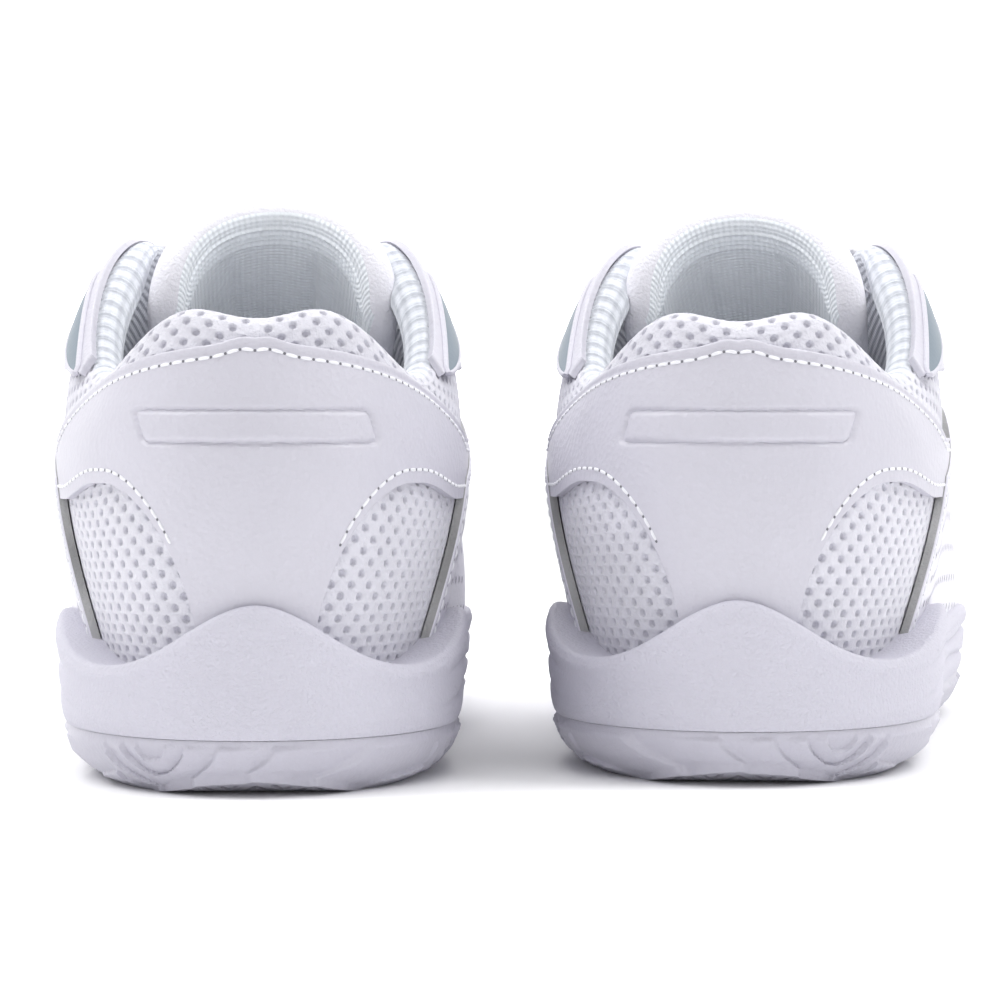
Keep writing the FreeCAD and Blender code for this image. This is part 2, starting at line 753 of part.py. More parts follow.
# ---------------------------------------------------------------- checks and files
for thing in doc.Objects:
    bad = [state for state in thing.State if state in ("Invalid", "Error")]
    if bad:
        raise RuntimeError("%s is %s" % (thing.Label, bad))
os.makedirs("parts", exist_ok=True)
for node in nodes:
    shape = node.Shape
    if shape.isNull() or not shape.isValid() or len(shape.Solids) != 1:
        raise RuntimeError("%s has a bad shape" % node.Label)
for node in nodes:
    node.Shape.exportStep("parts/%s.step" % node.Label)
    print("%-32s %10.0f mm3" % (node.Label, node.Shape.Volume))
print("pair shifted by", shift)
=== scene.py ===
"""Looks of a pair of low white cheer shoes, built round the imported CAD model.

One shoe is built as a right shoe in its own frame, in millimetres: heel at y = 0, toe towards +y, outer side
towards +x. Every piece is then placed twice, as it is for the right shoe and mirrored for the left one.
"""
import json
import math

import bpy
import numpy as np
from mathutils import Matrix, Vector


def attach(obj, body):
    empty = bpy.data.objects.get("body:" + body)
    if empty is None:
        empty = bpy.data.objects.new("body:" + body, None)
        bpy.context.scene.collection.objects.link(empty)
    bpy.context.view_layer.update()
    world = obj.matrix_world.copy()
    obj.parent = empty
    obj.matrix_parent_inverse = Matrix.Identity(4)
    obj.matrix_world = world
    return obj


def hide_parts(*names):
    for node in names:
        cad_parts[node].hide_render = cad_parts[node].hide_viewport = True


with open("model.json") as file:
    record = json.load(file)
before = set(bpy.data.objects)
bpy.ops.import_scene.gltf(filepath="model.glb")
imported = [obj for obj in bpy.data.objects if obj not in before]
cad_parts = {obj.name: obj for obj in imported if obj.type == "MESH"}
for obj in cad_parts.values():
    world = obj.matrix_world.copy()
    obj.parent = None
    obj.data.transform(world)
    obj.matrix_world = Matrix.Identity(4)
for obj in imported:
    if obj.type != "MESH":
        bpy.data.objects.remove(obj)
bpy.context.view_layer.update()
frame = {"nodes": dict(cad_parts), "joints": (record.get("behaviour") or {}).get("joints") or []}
MM = 0.001

# ---------------------------------------------------------------- the shape of the shoe, as in the CAD model
# Ribs of the half shoe, from the toe round the outer side to the heel. Each is a Bezier curve: bottom edge,
# two shoulders, and the top edge or ridge.
RIBS = np.array([
    ((0, 254, 14), (0, 259, 28), (0, 248, 43), (0, 224, 44)),
    ((15, 250, 14), (17, 254, 28), (13, 243, 44), (0, 217, 47)),
    ((28, 236, 14), (31, 239, 29), (24, 229, 47), (0, 207, 51)),
    ((37, 214, 14), (41, 215, 31), (31, 209, 52), (0, 195, 57)),
    ((40.5, 187, 14), (44.5, 188, 33), (34, 183, 58), (0, 181, 63)),
    ((40, 160, 14.5), (44, 161, 35), (35, 159, 64), (5.5, 163, 68)),
    ((37, 130, 16), (41.5, 131, 38), (37, 134, 74), (12, 140, 79)),
    ((33, 102, 17.5), (38.5, 101, 40), (39, 106, 80), (17, 115, 91)),
    ((30.5, 80, 18), (36, 78, 40), (40, 84, 82), (24, 97, 100)),
    ((29, 61, 18.5), (34, 59, 38), (42.5, 64, 68), (31, 76, 88)),
    ((27.5, 43, 19), (32, 40, 38), (39.5, 42, 58), (30, 50, 69)),
    ((23, 24, 19), (27.5, 20, 38), (30.5, 20, 60), (24.5, 28, 71)),
    ((13.5, 8.5, 19), (16.5, 3.5, 38), (18, 2, 63), (14.5, 8, 84)),
    ((0, 3.5, 19), (0, -1.5, 40), (0, -3, 63), (0, 4, 76.5)),
], float)
# The sole at the same ribs: its widest line, and the height of the midsole's rim.
SOLE = np.array([
    (0, 263, 26), (17, 259, 23.5), (31, 243, 20.5), (41, 219, 20), (45, 190, 21), (44.5, 160, 24),
    (41, 130, 24), (38, 102, 23), (37, 80, 25), (36.8, 60, 30), (36.2, 40, 26), (31.2, 19, 20.5),
    (18, 2, 21.5), (0, -3, 37),
], float)
HALF = len(RIBS) - 1
FULL = 2 * HALF
BALL_HIGH, HEEL_HIGH = 14.0, 19.0       # of the foot's bed
TOE_LIFT = 9.0
FLAT_START, FLAT_END = 16.0, 185.0      # where the sole touches the ground
HEEL_BEVEL = 3.5
PARTING = 9.5                           # height of the line between outsole and midsole
MESH, LEATHER, GAP = 2.0, 1.4, 0.08     # cloth and leather thickness, clearance between layers


def bump(value, centre, spread):
    return np.exp(-((value - centre) / spread) ** 2)


def step(value, start, end):
    """Smooth rise from 0 to 1 between two values, in either order."""
    f = np.clip((value - start) / (end - start), 0, 1)
    return f * f * (3 - 2 * f)


def toe_spring(y):
    return TOE_LIFT * np.maximum(0, (y - FLAT_END) / (SOLE[0][1] - FLAT_END)) ** 2


def shape_foot(p):
    """Gives symmetric points of the shoe its arch, its inward toe and its toe spring."""
    x, y, z = p[..., 0], p[..., 1], p[..., 2]
    inner = x * (1 - 0.07 * bump(y, 108, 34) - 0.10 * bump(y, 182, 36))
    x = np.where(x < 0, inner, x) - 8.0 * (np.maximum(0, y - 150) / 112.0) ** 2
    return np.stack([x, y, z + toe_spring(y)], axis=-1)


def bed(y):
    return BALL_HIGH + (HEEL_HIGH - BALL_HIGH) * np.clip((185 - y) / 165.0, 0, 1)


def spline_weights(f):
    """Weights of four entries in a row, f of the way from the second to the third."""
    return ((1 - f) ** 3 / 6, (3 * f ** 3 - 6 * f ** 2 + 4) / 6,
            (-3 * f ** 3 + 3 * f ** 2 + 3 * f + 1) / 6, f ** 3 / 6)


def bezier_weights(t):
    return np.stack([(1 - t) ** 3, 3 * t * (1 - t) ** 2, 3 * t * t * (1 - t), t ** 3], axis=-1)


def along(table, s):
    """Smooth entries of a half table at rib positions s, from 0 to HALF, mirrored past both ends."""
    k = np.minimum(np.floor(s).astype(int), HALF - 1)
    total = 0
    for j, weight in zip((-1, 0, 1, 2), spline_weights(s - k)):
        i = k + j
        side = np.where((i < 0) | (i > HALF), -1.0, 1.0)
        row = table[np.where(i < 0, -i, np.where(i > HALF, FULL - i, i))].copy()
        extra = row.ndim - side.ndim
        row[..., 0] *= side.reshape(side.shape + (1,) * (extra - 1))
        total = total + row * weight.reshape(weight.shape + (1,) * extra)
    return total


def bare_surface(s, t):
    c = along(RIBS, s)
    c[..., 0, 2] = bed(c[..., 0, 1]) + GAP
    c[..., 3, 0] = np.maximum(0, c[..., 3, 0] - np.clip((7 - s) / 2.5, 0, 1))
    return np.einsum("...p,...pk->...k", bezier_weights(t), c)


def unit(v):
    return v / np.maximum(np.linalg.norm(v, axis=-1, keepdims=True), 1e-9)


def arc_lengths(path):
    """Length along a path, from 0, at each of its points."""
    steps = np.linalg.norm(np.diff(path, axis=0), axis=-1)
    return np.concatenate([0 * steps[:1], np.cumsum(steps, axis=0)])


STEP = 0.01


def skin(s, t, out=0.0):
    """Points of the upper at rib position s (0 toe, HALF heel, FULL toe again by the inner side), height t
    from 0 to 1, and out millimetres outside the mesh."""
    s, t, out = np.broadcast_arrays(np.asarray(s, float), np.asarray(t, float), np.asarray(out, float))
    s = np.mod(s, FULL)
    side = np.where(s > HALF, -1.0, 1.0)
    s = np.where(s > HALF, FULL - s, s)
    here = bare_surface(s, t)
    s0, s1 = np.maximum(0, s - STEP), np.minimum(HALF, s + STEP)
    t0, t1 = np.maximum(0, t - STEP), np.minimum(1, t + STEP)
    ds = (bare_surface(s1, t) - bare_surface(s0, t)) / (s1 - s0)[..., None]
    dt = (bare_surface(s, t1) - bare_surface(s, t0)) / (t1 - t0)[..., None]
    normal = np.cross(dt, ds)
    flat = (here[..., 0] < 0.02) & ((s < 4.5) | (s > HALF - 0.02))
    ds[flat, 0] = 0
    dt[flat, 0] = 0
    sizes = [np.linalg.norm(d, axis=-1, keepdims=True) for d in (dt, ds)]
    longer = np.where(sizes[0] > sizes[1], dt, ds)
    normal = unit(np.where(flat[..., None], np.cross(longer, (1, 0, 0)), normal))
    # Both directions of the grid run together where the ridge meets the tip of the toe.
    tip = (step(s, 1.2, 0.2) * step(t, 0.75, 0.95))[..., None]
    up = unit(np.stack([0 * dt[..., 0], -dt[..., 2], dt[..., 1]], axis=-1))
    up = np.where(up[..., 2:] < 0, -up, up)
    upward = np.where(normal[..., 2:] < 0, -normal, normal)
    normal = np.where(tip > 0, unit(upward * (1 - tip) + up * tip), normal)
    middle = np.stack([0 * here[..., 0], np.clip(here[..., 1], 30, 215), 0 * here[..., 0] + 30], axis=-1)
    away = np.sum(normal * (here - middle), axis=-1, keepdims=True)
    normal = np.where(away < 0, -normal, normal)
    p = here + normal * out[..., None]
    p[..., 0] *= side
    return shape_foot(p)


def rib_height(s, z):
    """The t at which each rib reaches height z."""
    s, z = np.broadcast_arrays(np.asarray(s, float), np.asarray(z, float))
    low, high = np.zeros(s.shape), np.ones(s.shape)
    for _ in range(16):
        t = (low + high) / 2
        under = skin(s, t)[..., 2] < z
        low, high = np.where(under, t, low), np.where(under, high, t)
    return low


def sole_point(s, inset):
    """Plan view of the sole: points inset millimetres inside its widest line."""
    s, inset = np.broadcast_arrays(np.mod(np.asarray(s, float), FULL), np.asarray(inset, float))
    side = np.where(s > HALF, -1.0, 1.0)
    s = np.where(s > HALF, FULL - s, s)
    here, before, after = (along(SOLE, np.clip(s + d, 0, HALF)) for d in (0, -STEP, STEP))
    tangent = unit((after - before)[..., :2])
    ends = here[..., 0] < 0.02
    outward = np.stack([np.where(ends, 0, -tangent[..., 1]),
                        np.where(ends, np.where(here[..., 1] > 100, 1, -1), tangent[..., 0])], axis=-1)
    p = here[..., :2] - outward * inset[..., None]
    return p * np.stack([side, 0 * side + 1], axis=-1)


def rim_height(s):
    s = np.mod(s, FULL)
    return along(SOLE, np.where(s > HALF, FULL - s, s))[..., 2]


# ---------------------------------------------------------------- where the two shoes stand, from the joints
def shoe_place(prefix):
    """Rotation angle and origin of a shoe's own frame, from its tongue's hinge."""
    joint = next(j for j in frame["joints"] if j["name"] == prefix + "_tongue_swing")
    yaw = math.atan2(joint["axis"][1], joint["axis"][0])
    c, s = math.cos(yaw), math.sin(yaw)
    x, y, _ = joint["pos_m"]
    return c, s, x + s * HINGE_Y * MM, y - c * HINGE_Y * MM


HINGE_Y = 186.0
SHOES = {"right": 1, "left": -1}
PLACES = {prefix: shoe_place(prefix) for prefix in SHOES}


def placed(points, prefix):
    """Points of the shoe's own frame, in the frame of the pair, in metres."""
    c, s, x0, y0 = PLACES[prefix]
    p = np.asarray(points, float) * MM
    x, y = p[..., 0] * SHOES[prefix], p[..., 1]
    return np.stack([x * c - y * s + x0, x * s + y * c + y0, p[..., 2]], axis=-1)


# ---------------------------------------------------------------- building meshes
class Shape:
    """Points in millimetres, faces, and a pair of surface coordinates at each point."""

    def __init__(self):
        self.points, self.faces, self.marks, self.uv, self.count = [], [], [], [], 0

    def add(self, points, faces, uv=None, mark=0):
        points = np.asarray(points, float).reshape(-1, 3)
        self.points.append(points)
        self.uv.append(np.zeros((len(points), 2)) if uv is None else np.asarray(uv, float).reshape(-1, 2))
        self.faces.extend([tuple(i + self.count for i in face) for face in faces])
        self.marks.extend([mark] * len(faces) if np.isscalar(mark) else list(mark))
        self.count += len(points)

    def grid(self, points, uv=None, flip=False, mark=0):
        rows, cols = points.shape[:2]
        faces = []
        for a in range(0, (rows - 1) * cols, cols):
            for j in range(a, a + cols - 1):
                quad = (j, j + 1, j + cols + 1, j + cols)
                faces.append(quad[::-1] if flip else quad)
        self.add(points, faces, uv, mark)


def place(name, shape, material, part="shoe", nodes=(), smooth=40):
    """Makes a piece for both shoes. It rides on the shoe or its tongue, and may stand for CAD nodes."""
    points, uv = np.concatenate(shape.points), np.concatenate(shape.uv) * MM
    for prefix, hand in SHOES.items():
        mesh = bpy.data.meshes.new("%s_%s" % (prefix, name))
        faces = shape.faces if hand > 0 else [face[::-1] for face in shape.faces]
        mesh.from_pydata(placed(points, prefix).tolist(), [], faces)
        loops = np.empty(len(mesh.loops), dtype=np.int32)
        mesh.loops.foreach_get("vertex_index", loops)
        layer = mesh.uv_layers.new(name="surface")
        layer.data.foreach_set("uv", uv[loops].astype(np.float32).ravel())
        mesh.polygons.foreach_set("use_smooth", [True] * len(mesh.polygons))
        if smooth < 180:
            mesh.set_sharp_from_angle(angle=math.radians(smooth))
        for each in [material] if isinstance(material, str) else material:
            mesh.materials.append(MATERIALS[each])
        mesh.polygons.foreach_set("material_index", shape.marks)
        piece = bpy.data.objects.new(mesh.name, mesh)
        bpy.context.scene.collection.objects.link(piece)
        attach(piece, "%s_%s" % (prefix, part))
        if nodes:
            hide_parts(*["%s_%s" % (prefix, node) for node in nodes])


def edge_positions(length, radius, spacing):
    """Places along a panel, from 0 to 1, packed closely at both rounded edges, and each one's drop."""
    near = radius * (1 - np.cos(np.linspace(0, math.pi / 2, 4)))
    inner = np.linspace(radius, length - radius, max(2, int(round((length - 2 * radius) / spacing)) + 1))
    at = np.concatenate([near[:-1], inner, (length - near[:-1])[::-1]])
    close = np.minimum(np.minimum(at, length - at), radius)
    return at / length, radius - np.sqrt(np.maximum(0, radius ** 2 - (radius - close) ** 2))


def panel(region, out, deep, width, height, radius=0.45, spacing=2.0, relief=None, flip=False, raw=()):
    """Sheet over the upper with rounded edges. region(a, b) gives (s, t) for a across and b up, from 0 to 1.
    raw lists the edges (high_a behind, high_b on top) whose cut shows the second material."""
    a, drop_a = edge_positions(width, radius, spacing)
    b, drop_b = edge_positions(height, radius, spacing)
    aa, bb = np.meshgrid(a, b, indexing="ij")
    drop = np.maximum(drop_a[:, None], drop_b[None, :])
    s, t = region(aa, bb)
    lift = out - drop + (relief(aa, bb) if relief else 0)
    top = skin(s, t, lift)
    uv = np.stack([aa * width, bb * height], axis=-1)
    shape = Shape()
    shape.grid(top, uv, flip=flip)
    last_a, last_b = len(a) - 1, len(b) - 1
    border = [(i, 0) for i in range(len(a))] + [(last_a, j) for j in range(1, len(b))]
    border += [(i, last_b) for i in range(last_a - 1, -1, -1)] + [(0, j) for j in range(last_b - 1, 0, -1)]
    i, j = np.array(border).T
    wall = np.stack([top[i, j], skin(s[i, j], t[i, j], deep)], axis=1)
    cut = np.zeros(len(border), int)
    for on_edge in [{"high_a": i == last_a, "high_b": j == last_b}[edge] for edge in raw]:
        cut |= on_edge & np.roll(on_edge, -1)
    shape.grid(np.concatenate([wall, wall[:1]]), flip=flip, mark=cut.tolist())
    shape.grid(skin(s, t, deep), uv, flip=not flip)
    return shape


# ---------------------------------------------------------------- materials
MATERIALS = {}


def new_material(name, colour, roughness, sheen=0.0, coat=0.0):
    made = bpy.data.materials.new(name)
    made.use_nodes = True
    shader = made.node_tree.nodes["Principled BSDF"]
    shader.inputs["Base Color"].default_value = (*colour, 1)
    shader.inputs["Roughness"].default_value = roughness
    shader.inputs["Sheen Weight"].default_value = sheen
    shader.inputs["Coat Weight"].default_value = coat
    MATERIALS[name] = made
    return made.node_tree, shader


def link_bump(tree, shader, height, strength, distance, before=None):
    """Adds a bump from a height socket, over an earlier bump if there is one."""
    node = tree.nodes.new("ShaderNodeBump")
    node.inputs["Strength"].default_value = strength
    node.inputs["Distance"].default_value = distance
    tree.links.new(height, node.inputs["Height"])
    if before is not None:
        tree.links.new(before, node.inputs["Normal"])
    tree.links.new(node.outputs["Normal"], shader.inputs["Normal"])
    return node.outputs["Normal"]


def texture(tree, kind, scale, **inputs):
    where = tree.nodes.get("where") or tree.nodes.new("ShaderNodeTexCoord")
    where.name = "where"
    node = tree.nodes.new(kind)
    node.inputs["Scale"].default_value = scale
    for key, value in inputs.items():
        node.inputs[key].default_value = value
    tree.links.new(where.outputs["Object"], node.inputs["Vector"])
    return node


def mottle(tree, shader, colour, scale, shade):
    """Uneven base colour, from the colour times shade up to the colour itself, in soft patches."""
    patches = texture(tree, "ShaderNodeTexNoise", scale, Detail=2.0).outputs["Fac"]
    ramp = tree.nodes.new("ShaderNodeValToRGB")
    low, high = ramp.color_ramp.elements
    low.color, high.color = (*(c * shade for c in colour), 1), (*colour, 1)
    low.position, high.position = 0.3, 0.7
    tree.links.new(patches, ramp.inputs["Fac"])
    tree.links.new(ramp.outputs["Color"], shader.inputs["Base Color"])
    return patches


def roughen(tree, shader, factor, low, high):
    span = tree.nodes.new("ShaderNodeMapRange")
    span.inputs["To Min"].default_value = low
    span.inputs["To Max"].default_value = high
    tree.links.new(factor, span.inputs["Value"])
    tree.links.new(span.outputs["Result"], shader.inputs["Roughness"])


def make_leather(name, colour, grain=0.25, roughness=(0.38, 0.55)):
    """Synthetic leather: shallow pebble cells, finer pores, a little uneven in colour and gloss."""
    tree, shader = new_material(name, colour, 0.45, coat=0.08)
    cells = texture(tree, "ShaderNodeTexVoronoi", 900)
    pores = texture(tree, "ShaderNodeTexNoise", 2600, Detail=3.0)
    first = link_bump(tree, shader, cells.outputs["Distance"], grain, 0.00022)
    link_bump(tree, shader, pores.outputs["Fac"], grain * 0.8, 0.00014, first)
    roughen(tree, shader, mottle(tree, shader, colour, 45, 0.965), *roughness)


def make_foam(name, colour, scale, strength, roughness):
    """Moulded foam or rubber: a fine stipple over the whole surface."""
    tree, shader = new_material(name, colour, 0.6)
    stipple = texture(tree, "ShaderNodeTexNoise", scale, Detail=2.0, Roughness=0.6).outputs["Fac"]
    link_bump(tree, shader, stipple, strength, 0.0006)
    mottle(tree, shader, colour, 30, 0.97)
    roughen(tree, shader, stipple, *roughness)


def make_yarn(name, colour, scale=3000, strength=0.5, sheen=0.3, shade=0.93):
    """Fabric of fine yarn: fibres as a stretched noise, soft sheen, uneven shade."""
    tree, shader = new_material(name, colour, 0.85, sheen=sheen)
    fibres = texture(tree, "ShaderNodeTexNoise", scale, Detail=3.0)
    link_bump(tree, shader, fibres.outputs["Fac"], strength, 0.0003)
    mottle(tree, shader, colour, 60, shade)


def math_node(tree, operation, *values):
    node = tree.nodes.new("ShaderNodeMath")
    node.operation = operation
    for socket, value in zip(node.inputs, values):
        if hasattr(value, "links"):
            tree.links.new(value, socket)
        else:
            socket.default_value = value
    return node.outputs[0]


def surface_axes(tree):
    """The two surface coordinates of the piece, in metres."""
    where = tree.nodes.new("ShaderNodeTexCoord")
    split = tree.nodes.new("ShaderNodeSeparateXYZ")
    tree.links.new(where.outputs["UV"], split.inputs[0])
    return split.outputs["X"], split.outputs["Y"]


def wave(tree, run, length):
    return math_node(tree, "SINE", math_node(tree, "MULTIPLY", run, 2 * math.pi / length))


def woven(tree, shader, colour, height, strength, depth, fibre_scale, fibre_strength, patch_scale):
    """Bump from a thread pattern's height, with fibres over it, and an uneven colour."""
    first = link_bump(tree, shader, height, strength, depth)
    fibres = texture(tree, "ShaderNodeTexNoise", fibre_scale, Detail=2.0)
    link_bump(tree, shader, fibres.outputs["Fac"], fibre_strength, 0.0002, first)
    mottle(tree, shader, colour, patch_scale, 0.94)


def make_knit(name, colour, pitch, strength=0.6):
    """Fine jersey: columns of stitches, from two crossed waves on the piece's own surface coordinates."""
    tree, shader = new_material(name, colour, 0.85, sheen=0.3)
    x, y = surface_axes(tree)
    height = math_node(tree, "ADD", wave(tree, x, pitch), wave(tree, y, pitch * 0.8))
    woven(tree, shader, colour, height, strength, 0.00015, 3500, 0.4, 70)


def make_braid(name, colour):
    """Flat braid: rows of chevrons along the band, from its surface coordinates."""
    tree, shader = new_material(name, colour, 0.8, sheen=0.3)
    x, y = surface_axes(tree)
    chevron = math_node(tree, "ADD", x, math_node(tree, "ABSOLUTE", y))
    height = math_node(tree, "ADD", wave(tree, chevron, 0.0016), wave(tree, y, 0.0012))
    woven(tree, shader, colour, height, 0.7, 0.0002, 4000, 0.3, 60)


make_leather("leather", (0.54, 0.53, 0.595), grain=0.5)
# The sides' leather is the same white leather as the heel's, painted lighter: painted light on the sides of
# the shoe.
make_leather("lit_side_leather", (0.66, 0.65, 0.72), grain=0.5)
make_foam("midsole_foam", (0.545, 0.535, 0.61), 1500, 0.6, (0.5, 0.68))
make_foam("outsole_rubber", (0.49, 0.48, 0.55), 1100, 0.35, (0.35, 0.55))
make_yarn("mesh_yarn", (0.64, 0.635, 0.70), scale=1700, strength=0.9, shade=0.9)
# The mesh's back layer and hole floors: the same white yarn painted darker, as painted shade in the holes.
make_yarn("mesh_back", (0.52, 0.515, 0.585), strength=0.3)
make_braid("lace_braid", (0.83, 0.825, 0.86))
make_yarn("tongue_mesh", (0.84, 0.83, 0.89), scale=1700, strength=0.9, shade=0.92)
make_yarn("thread", (0.80, 0.80, 0.84), scale=6000, strength=0.2)
make_yarn("raw_edge", (0.45, 0.45, 0.45), scale=1500, strength=1.0, sheen=0.1, shade=0.6)
# The tongue's knit lining is painted lighter than the collar's lining: painted light inside the deep opening.
make_knit("lit_lining_knit", (0.89, 0.925, 0.97), 0.0011)
make_knit("ear_knit", (0.70, 0.725, 0.785), 0.0011, strength=0.9)
make_knit("liner_cloth", (0.78, 0.78, 0.82), 0.0014)
make_leather("accent_gloss", (0.14, 0.185, 0.23), grain=0.1, roughness=(0.4, 0.5))
# Dark colour of needle holes, perforation floors and eyelet holes: painted shade in the holes.
make_foam("needle_hole", (0.16, 0.16, 0.18), 1500, 0.1, (0.8, 0.9))
make_foam("board", (0.7, 0.68, 0.64), 900, 0.3, (0.7, 0.85))
make_foam("stiffener", (0.75, 0.75, 0.76), 900, 0.3, (0.6, 0.75))


# ---------------------------------------------------------------- sole
# Height above the ground contact, and how far the wall stands inside the sole's widest line there.
WALL = np.array([
    (0, 8.5), (2, 5.4), (4.5, 3.2), (8, 1.6), (12, 0.7), (18, 0.2), (24, 0.0), (30, 0.2), (44, 1.6)])


def ground_height(y):
    heel = HEEL_BEVEL * (np.maximum(0, FLAT_START - y) / FLAT_START) ** 2
    return np.where(y > 100, toe_spring(y), heel)


def wall_point(s, z, out=0.0):
    """Points of the sole's wall at rib positions s and heights z above its ground contact."""
    s, z, out = np.broadcast_arrays(s, z, out)
    inset = np.interp(z, WALL[:, 0], WALL[:, 1]) - out
    x_y = sole_point(s, inset)
    p = np.concatenate([x_y, 0 * x_y[..., :1]], axis=-1)
    p = shape_foot(p)
    p[..., 2] = z + toe_spring(x_y[..., 1])
    return p


SOLE_STEPS = np.linspace(0, FULL, 1301)
PATTERN_LONG, PATTERN_START, PATTERN_HIGH = 77.5, 20.0, 8.6     # of the swirls on the outsole's wall
PATTERN_AHEAD = 13.0
BAND, BAND_DEEP = 2.5, 1.25
LIP = 1.3                       # radius of the midsole's rim
TREAD_PITCH, TREAD_DEEP = 7.0, 1.2


def build_midsole():
    """Wall from the parting line up to the wavy rim, its rounded lip, and the shelf inside it."""
    s = SOLE_STEPS[::2]
    rim = rim_height(s)
    low = np.full(s.shape, PARTING) + 0.1
    on_side = step(np.abs(s - HALF), 1.9, 3.2)
    waves = 0.05 * np.sin(np.abs(s - HALF) * 2.1)
    rows = []
    for f in np.concatenate([[0.0, 0.03, 0.07], np.linspace(0.12, 0.94, 24)]):
        z = low + (rim - 0.8 - low) * f
        edge = -0.25 * step(f, 0.05, 0.0)
        shoulder = 0.35 * bump(f, 0.9, 0.09) - 0.25 * bump(f, 0.55, 0.25) * (1 - on_side)
        ledges = -0.75 * on_side * (bump(f, 0.32 + waves, 0.045) + bump(f, 0.66 - waves, 0.045))
        rows.append(wall_point(s, z, edge + shoulder + ledges))
    for angle in (0, 25, 50, 75, 100):
        c, d = math.cos(math.radians(angle)), math.sin(math.radians(angle))
        rows.append(wall_point(s, rim - LIP + LIP * d, 0.1 - LIP + LIP * c))
    against = skin(s, rib_height(s, rim - 0.9), -1.0)
    rows.append(against)
    rows.append(against - (0, 0, 4.0))
    shape = Shape()
    shape.grid(np.stack(rows, axis=1), flip=True)
    place("midsole", shape, "midsole_foam", nodes=("midsole",))


def outsole_relief(run, z):
    """Moulded pattern of the outsole's wall: ribs that swirl round centres and sweep off along the sole."""
    from_centre = np.mod(PATTERN_START - run + PATTERN_AHEAD, PATTERN_LONG) - PATTERN_AHEAD
    stretched = from_centre / (1 + 0.055 * np.abs(from_centre))
    ring = np.hypot(stretched, z - PATTERN_HIGH) / BAND
    rise = ring - np.floor(ring)
    shape = step(rise, 0.0, 0.16) * (1 - rise) ** 1.1
    return BAND_DEEP * shape * step(z, 9.0, 7.6) * step(z, 0.2, 1.6) * step(ring, 0.9, 1.3)


def build_outsole():
    """Rubber cup under the midsole, with its moulded wall and a herringbone tread."""
    s = SOLE_STEPS
    x_y = sole_point(s, 0)
    run = arc_lengths(x_y)
    run = np.interp(HALF, s, run) - run
    ground = ground_height(x_y[:, 1]) - toe_spring(x_y[:, 1])
    rows = []
    for f in np.concatenate([[1.0, 0.985], np.linspace(0.96, 0.0, 24)]):
        z = ground + (PARTING - ground) * f
        rows.append(wall_point(s, z, outsole_relief(run, z) - 0.3 - 0.15 * step(f, 0.94, 0.985)))
    base = rows[-1]
    centre = np.stack([base[:, 0] * 0.1, 130 + (base[:, 1] - 130) * 0.8, base[:, 2]], axis=-1)
    for f in np.concatenate([[0.02, 0.06], np.linspace(0.1, 0.97, 50)]):
        p = base * (1 - f) + centre * f
        zigzag = np.mod(p[:, 1] + 2.2 * np.abs(np.mod(p[:, 0], 9.0) - 4.5), TREAD_PITCH)
        groove = step(zigzag, 0.0, 0.5) * step(zigzag, 2.4, 1.9) * step(f, 0.06, 0.12)
        p[:, 2] = ground_height(p[:, 1]) + TREAD_DEEP * groove
        rows.append(p)
    shape = Shape()
    shape.grid(np.stack(rows, axis=1))
    place("outsole", shape, "outsole_rubber", nodes=("outsole",))


build_midsole()
build_outsole()


# ---------------------------------------------------------------- the padded collar
FOAM, LINING = 5.2, 1.0
EAR_THINNING = 0.2
UNDER = MESH + 2 * GAP + LINING         # all the layers without the foam


def collar(s):
    """1 along the padded collar at the back of the shoe, thinner at its ears, 0 at the laces."""
    from_heel = np.abs(s - HALF)
    return step(from_heel, 5.3, 4.2) * (1 - EAR_THINNING * step(from_heel, 2.2, 4.0))


def roll_radius(s):
    return (UNDER + FOAM * collar(s)) / 2


RIB_STEPS = np.linspace(0, 1, 41)
RIB_LENGTH_AT = np.linspace(0, FULL, 105)
RIB_LENGTHS = arc_lengths(skin(RIB_LENGTH_AT[None, :], RIB_STEPS[:, None]))[-1]


def roll_start(s):
    """The t at which the collar's rounded top begins."""
    return 1 - 0.85 * roll_radius(s) / np.interp(s, RIB_LENGTH_AT, RIB_LENGTHS)


def roll(s, angle, out=0.0):
    """Points over the collar's rounded top: angle 0 is its outer face, pi its inner face."""
    s, angle, out = np.broadcast_arrays(s, angle, out)
    t, radius = roll_start(s), roll_radius(s)
    outer, inner = skin(s, t), skin(s, t, -1)
    normal = unit(outer - inner)
    up = skin(s, t) - skin(s, t - 0.02)
    up = unit(up - normal * np.sum(up * normal, axis=-1, keepdims=True))
    reach = (radius + out)[..., None]
    return outer - normal * radius[..., None] + reach * (
        np.cos(angle)[..., None] * normal + np.sin(angle)[..., None] * up)


def mesh_end(s):
    """How far over the roll the spacer mesh goes before the lining takes over, as an angle."""
    from_heel = np.abs(s - HALF)
    return math.radians(150) - math.radians(115) * step(from_heel, 1.7, 2.5)


# ---------------------------------------------------------------- spacer mesh, with a real hole in each cell
PITCH_ACROSS, PITCH_UP = 4.6, 2.0       # of the cells in a row, and of the rows
ROW_KEY = 100000                        # larger than any row's number
AROUND_U = np.array([-2, -1, 0, 1, 2, 2, 2, 1, 0, -1, -2, -2])      # quarters of a cell
AROUND_V = np.array([-1, -1, -1, -1, -1, 0, 1, 1, 1, 1, 1, 0])      # halves of a cell
HOLE = np.array([0.84, 0.8])        # half width and half height
HOLE_DEPTH = 0.65


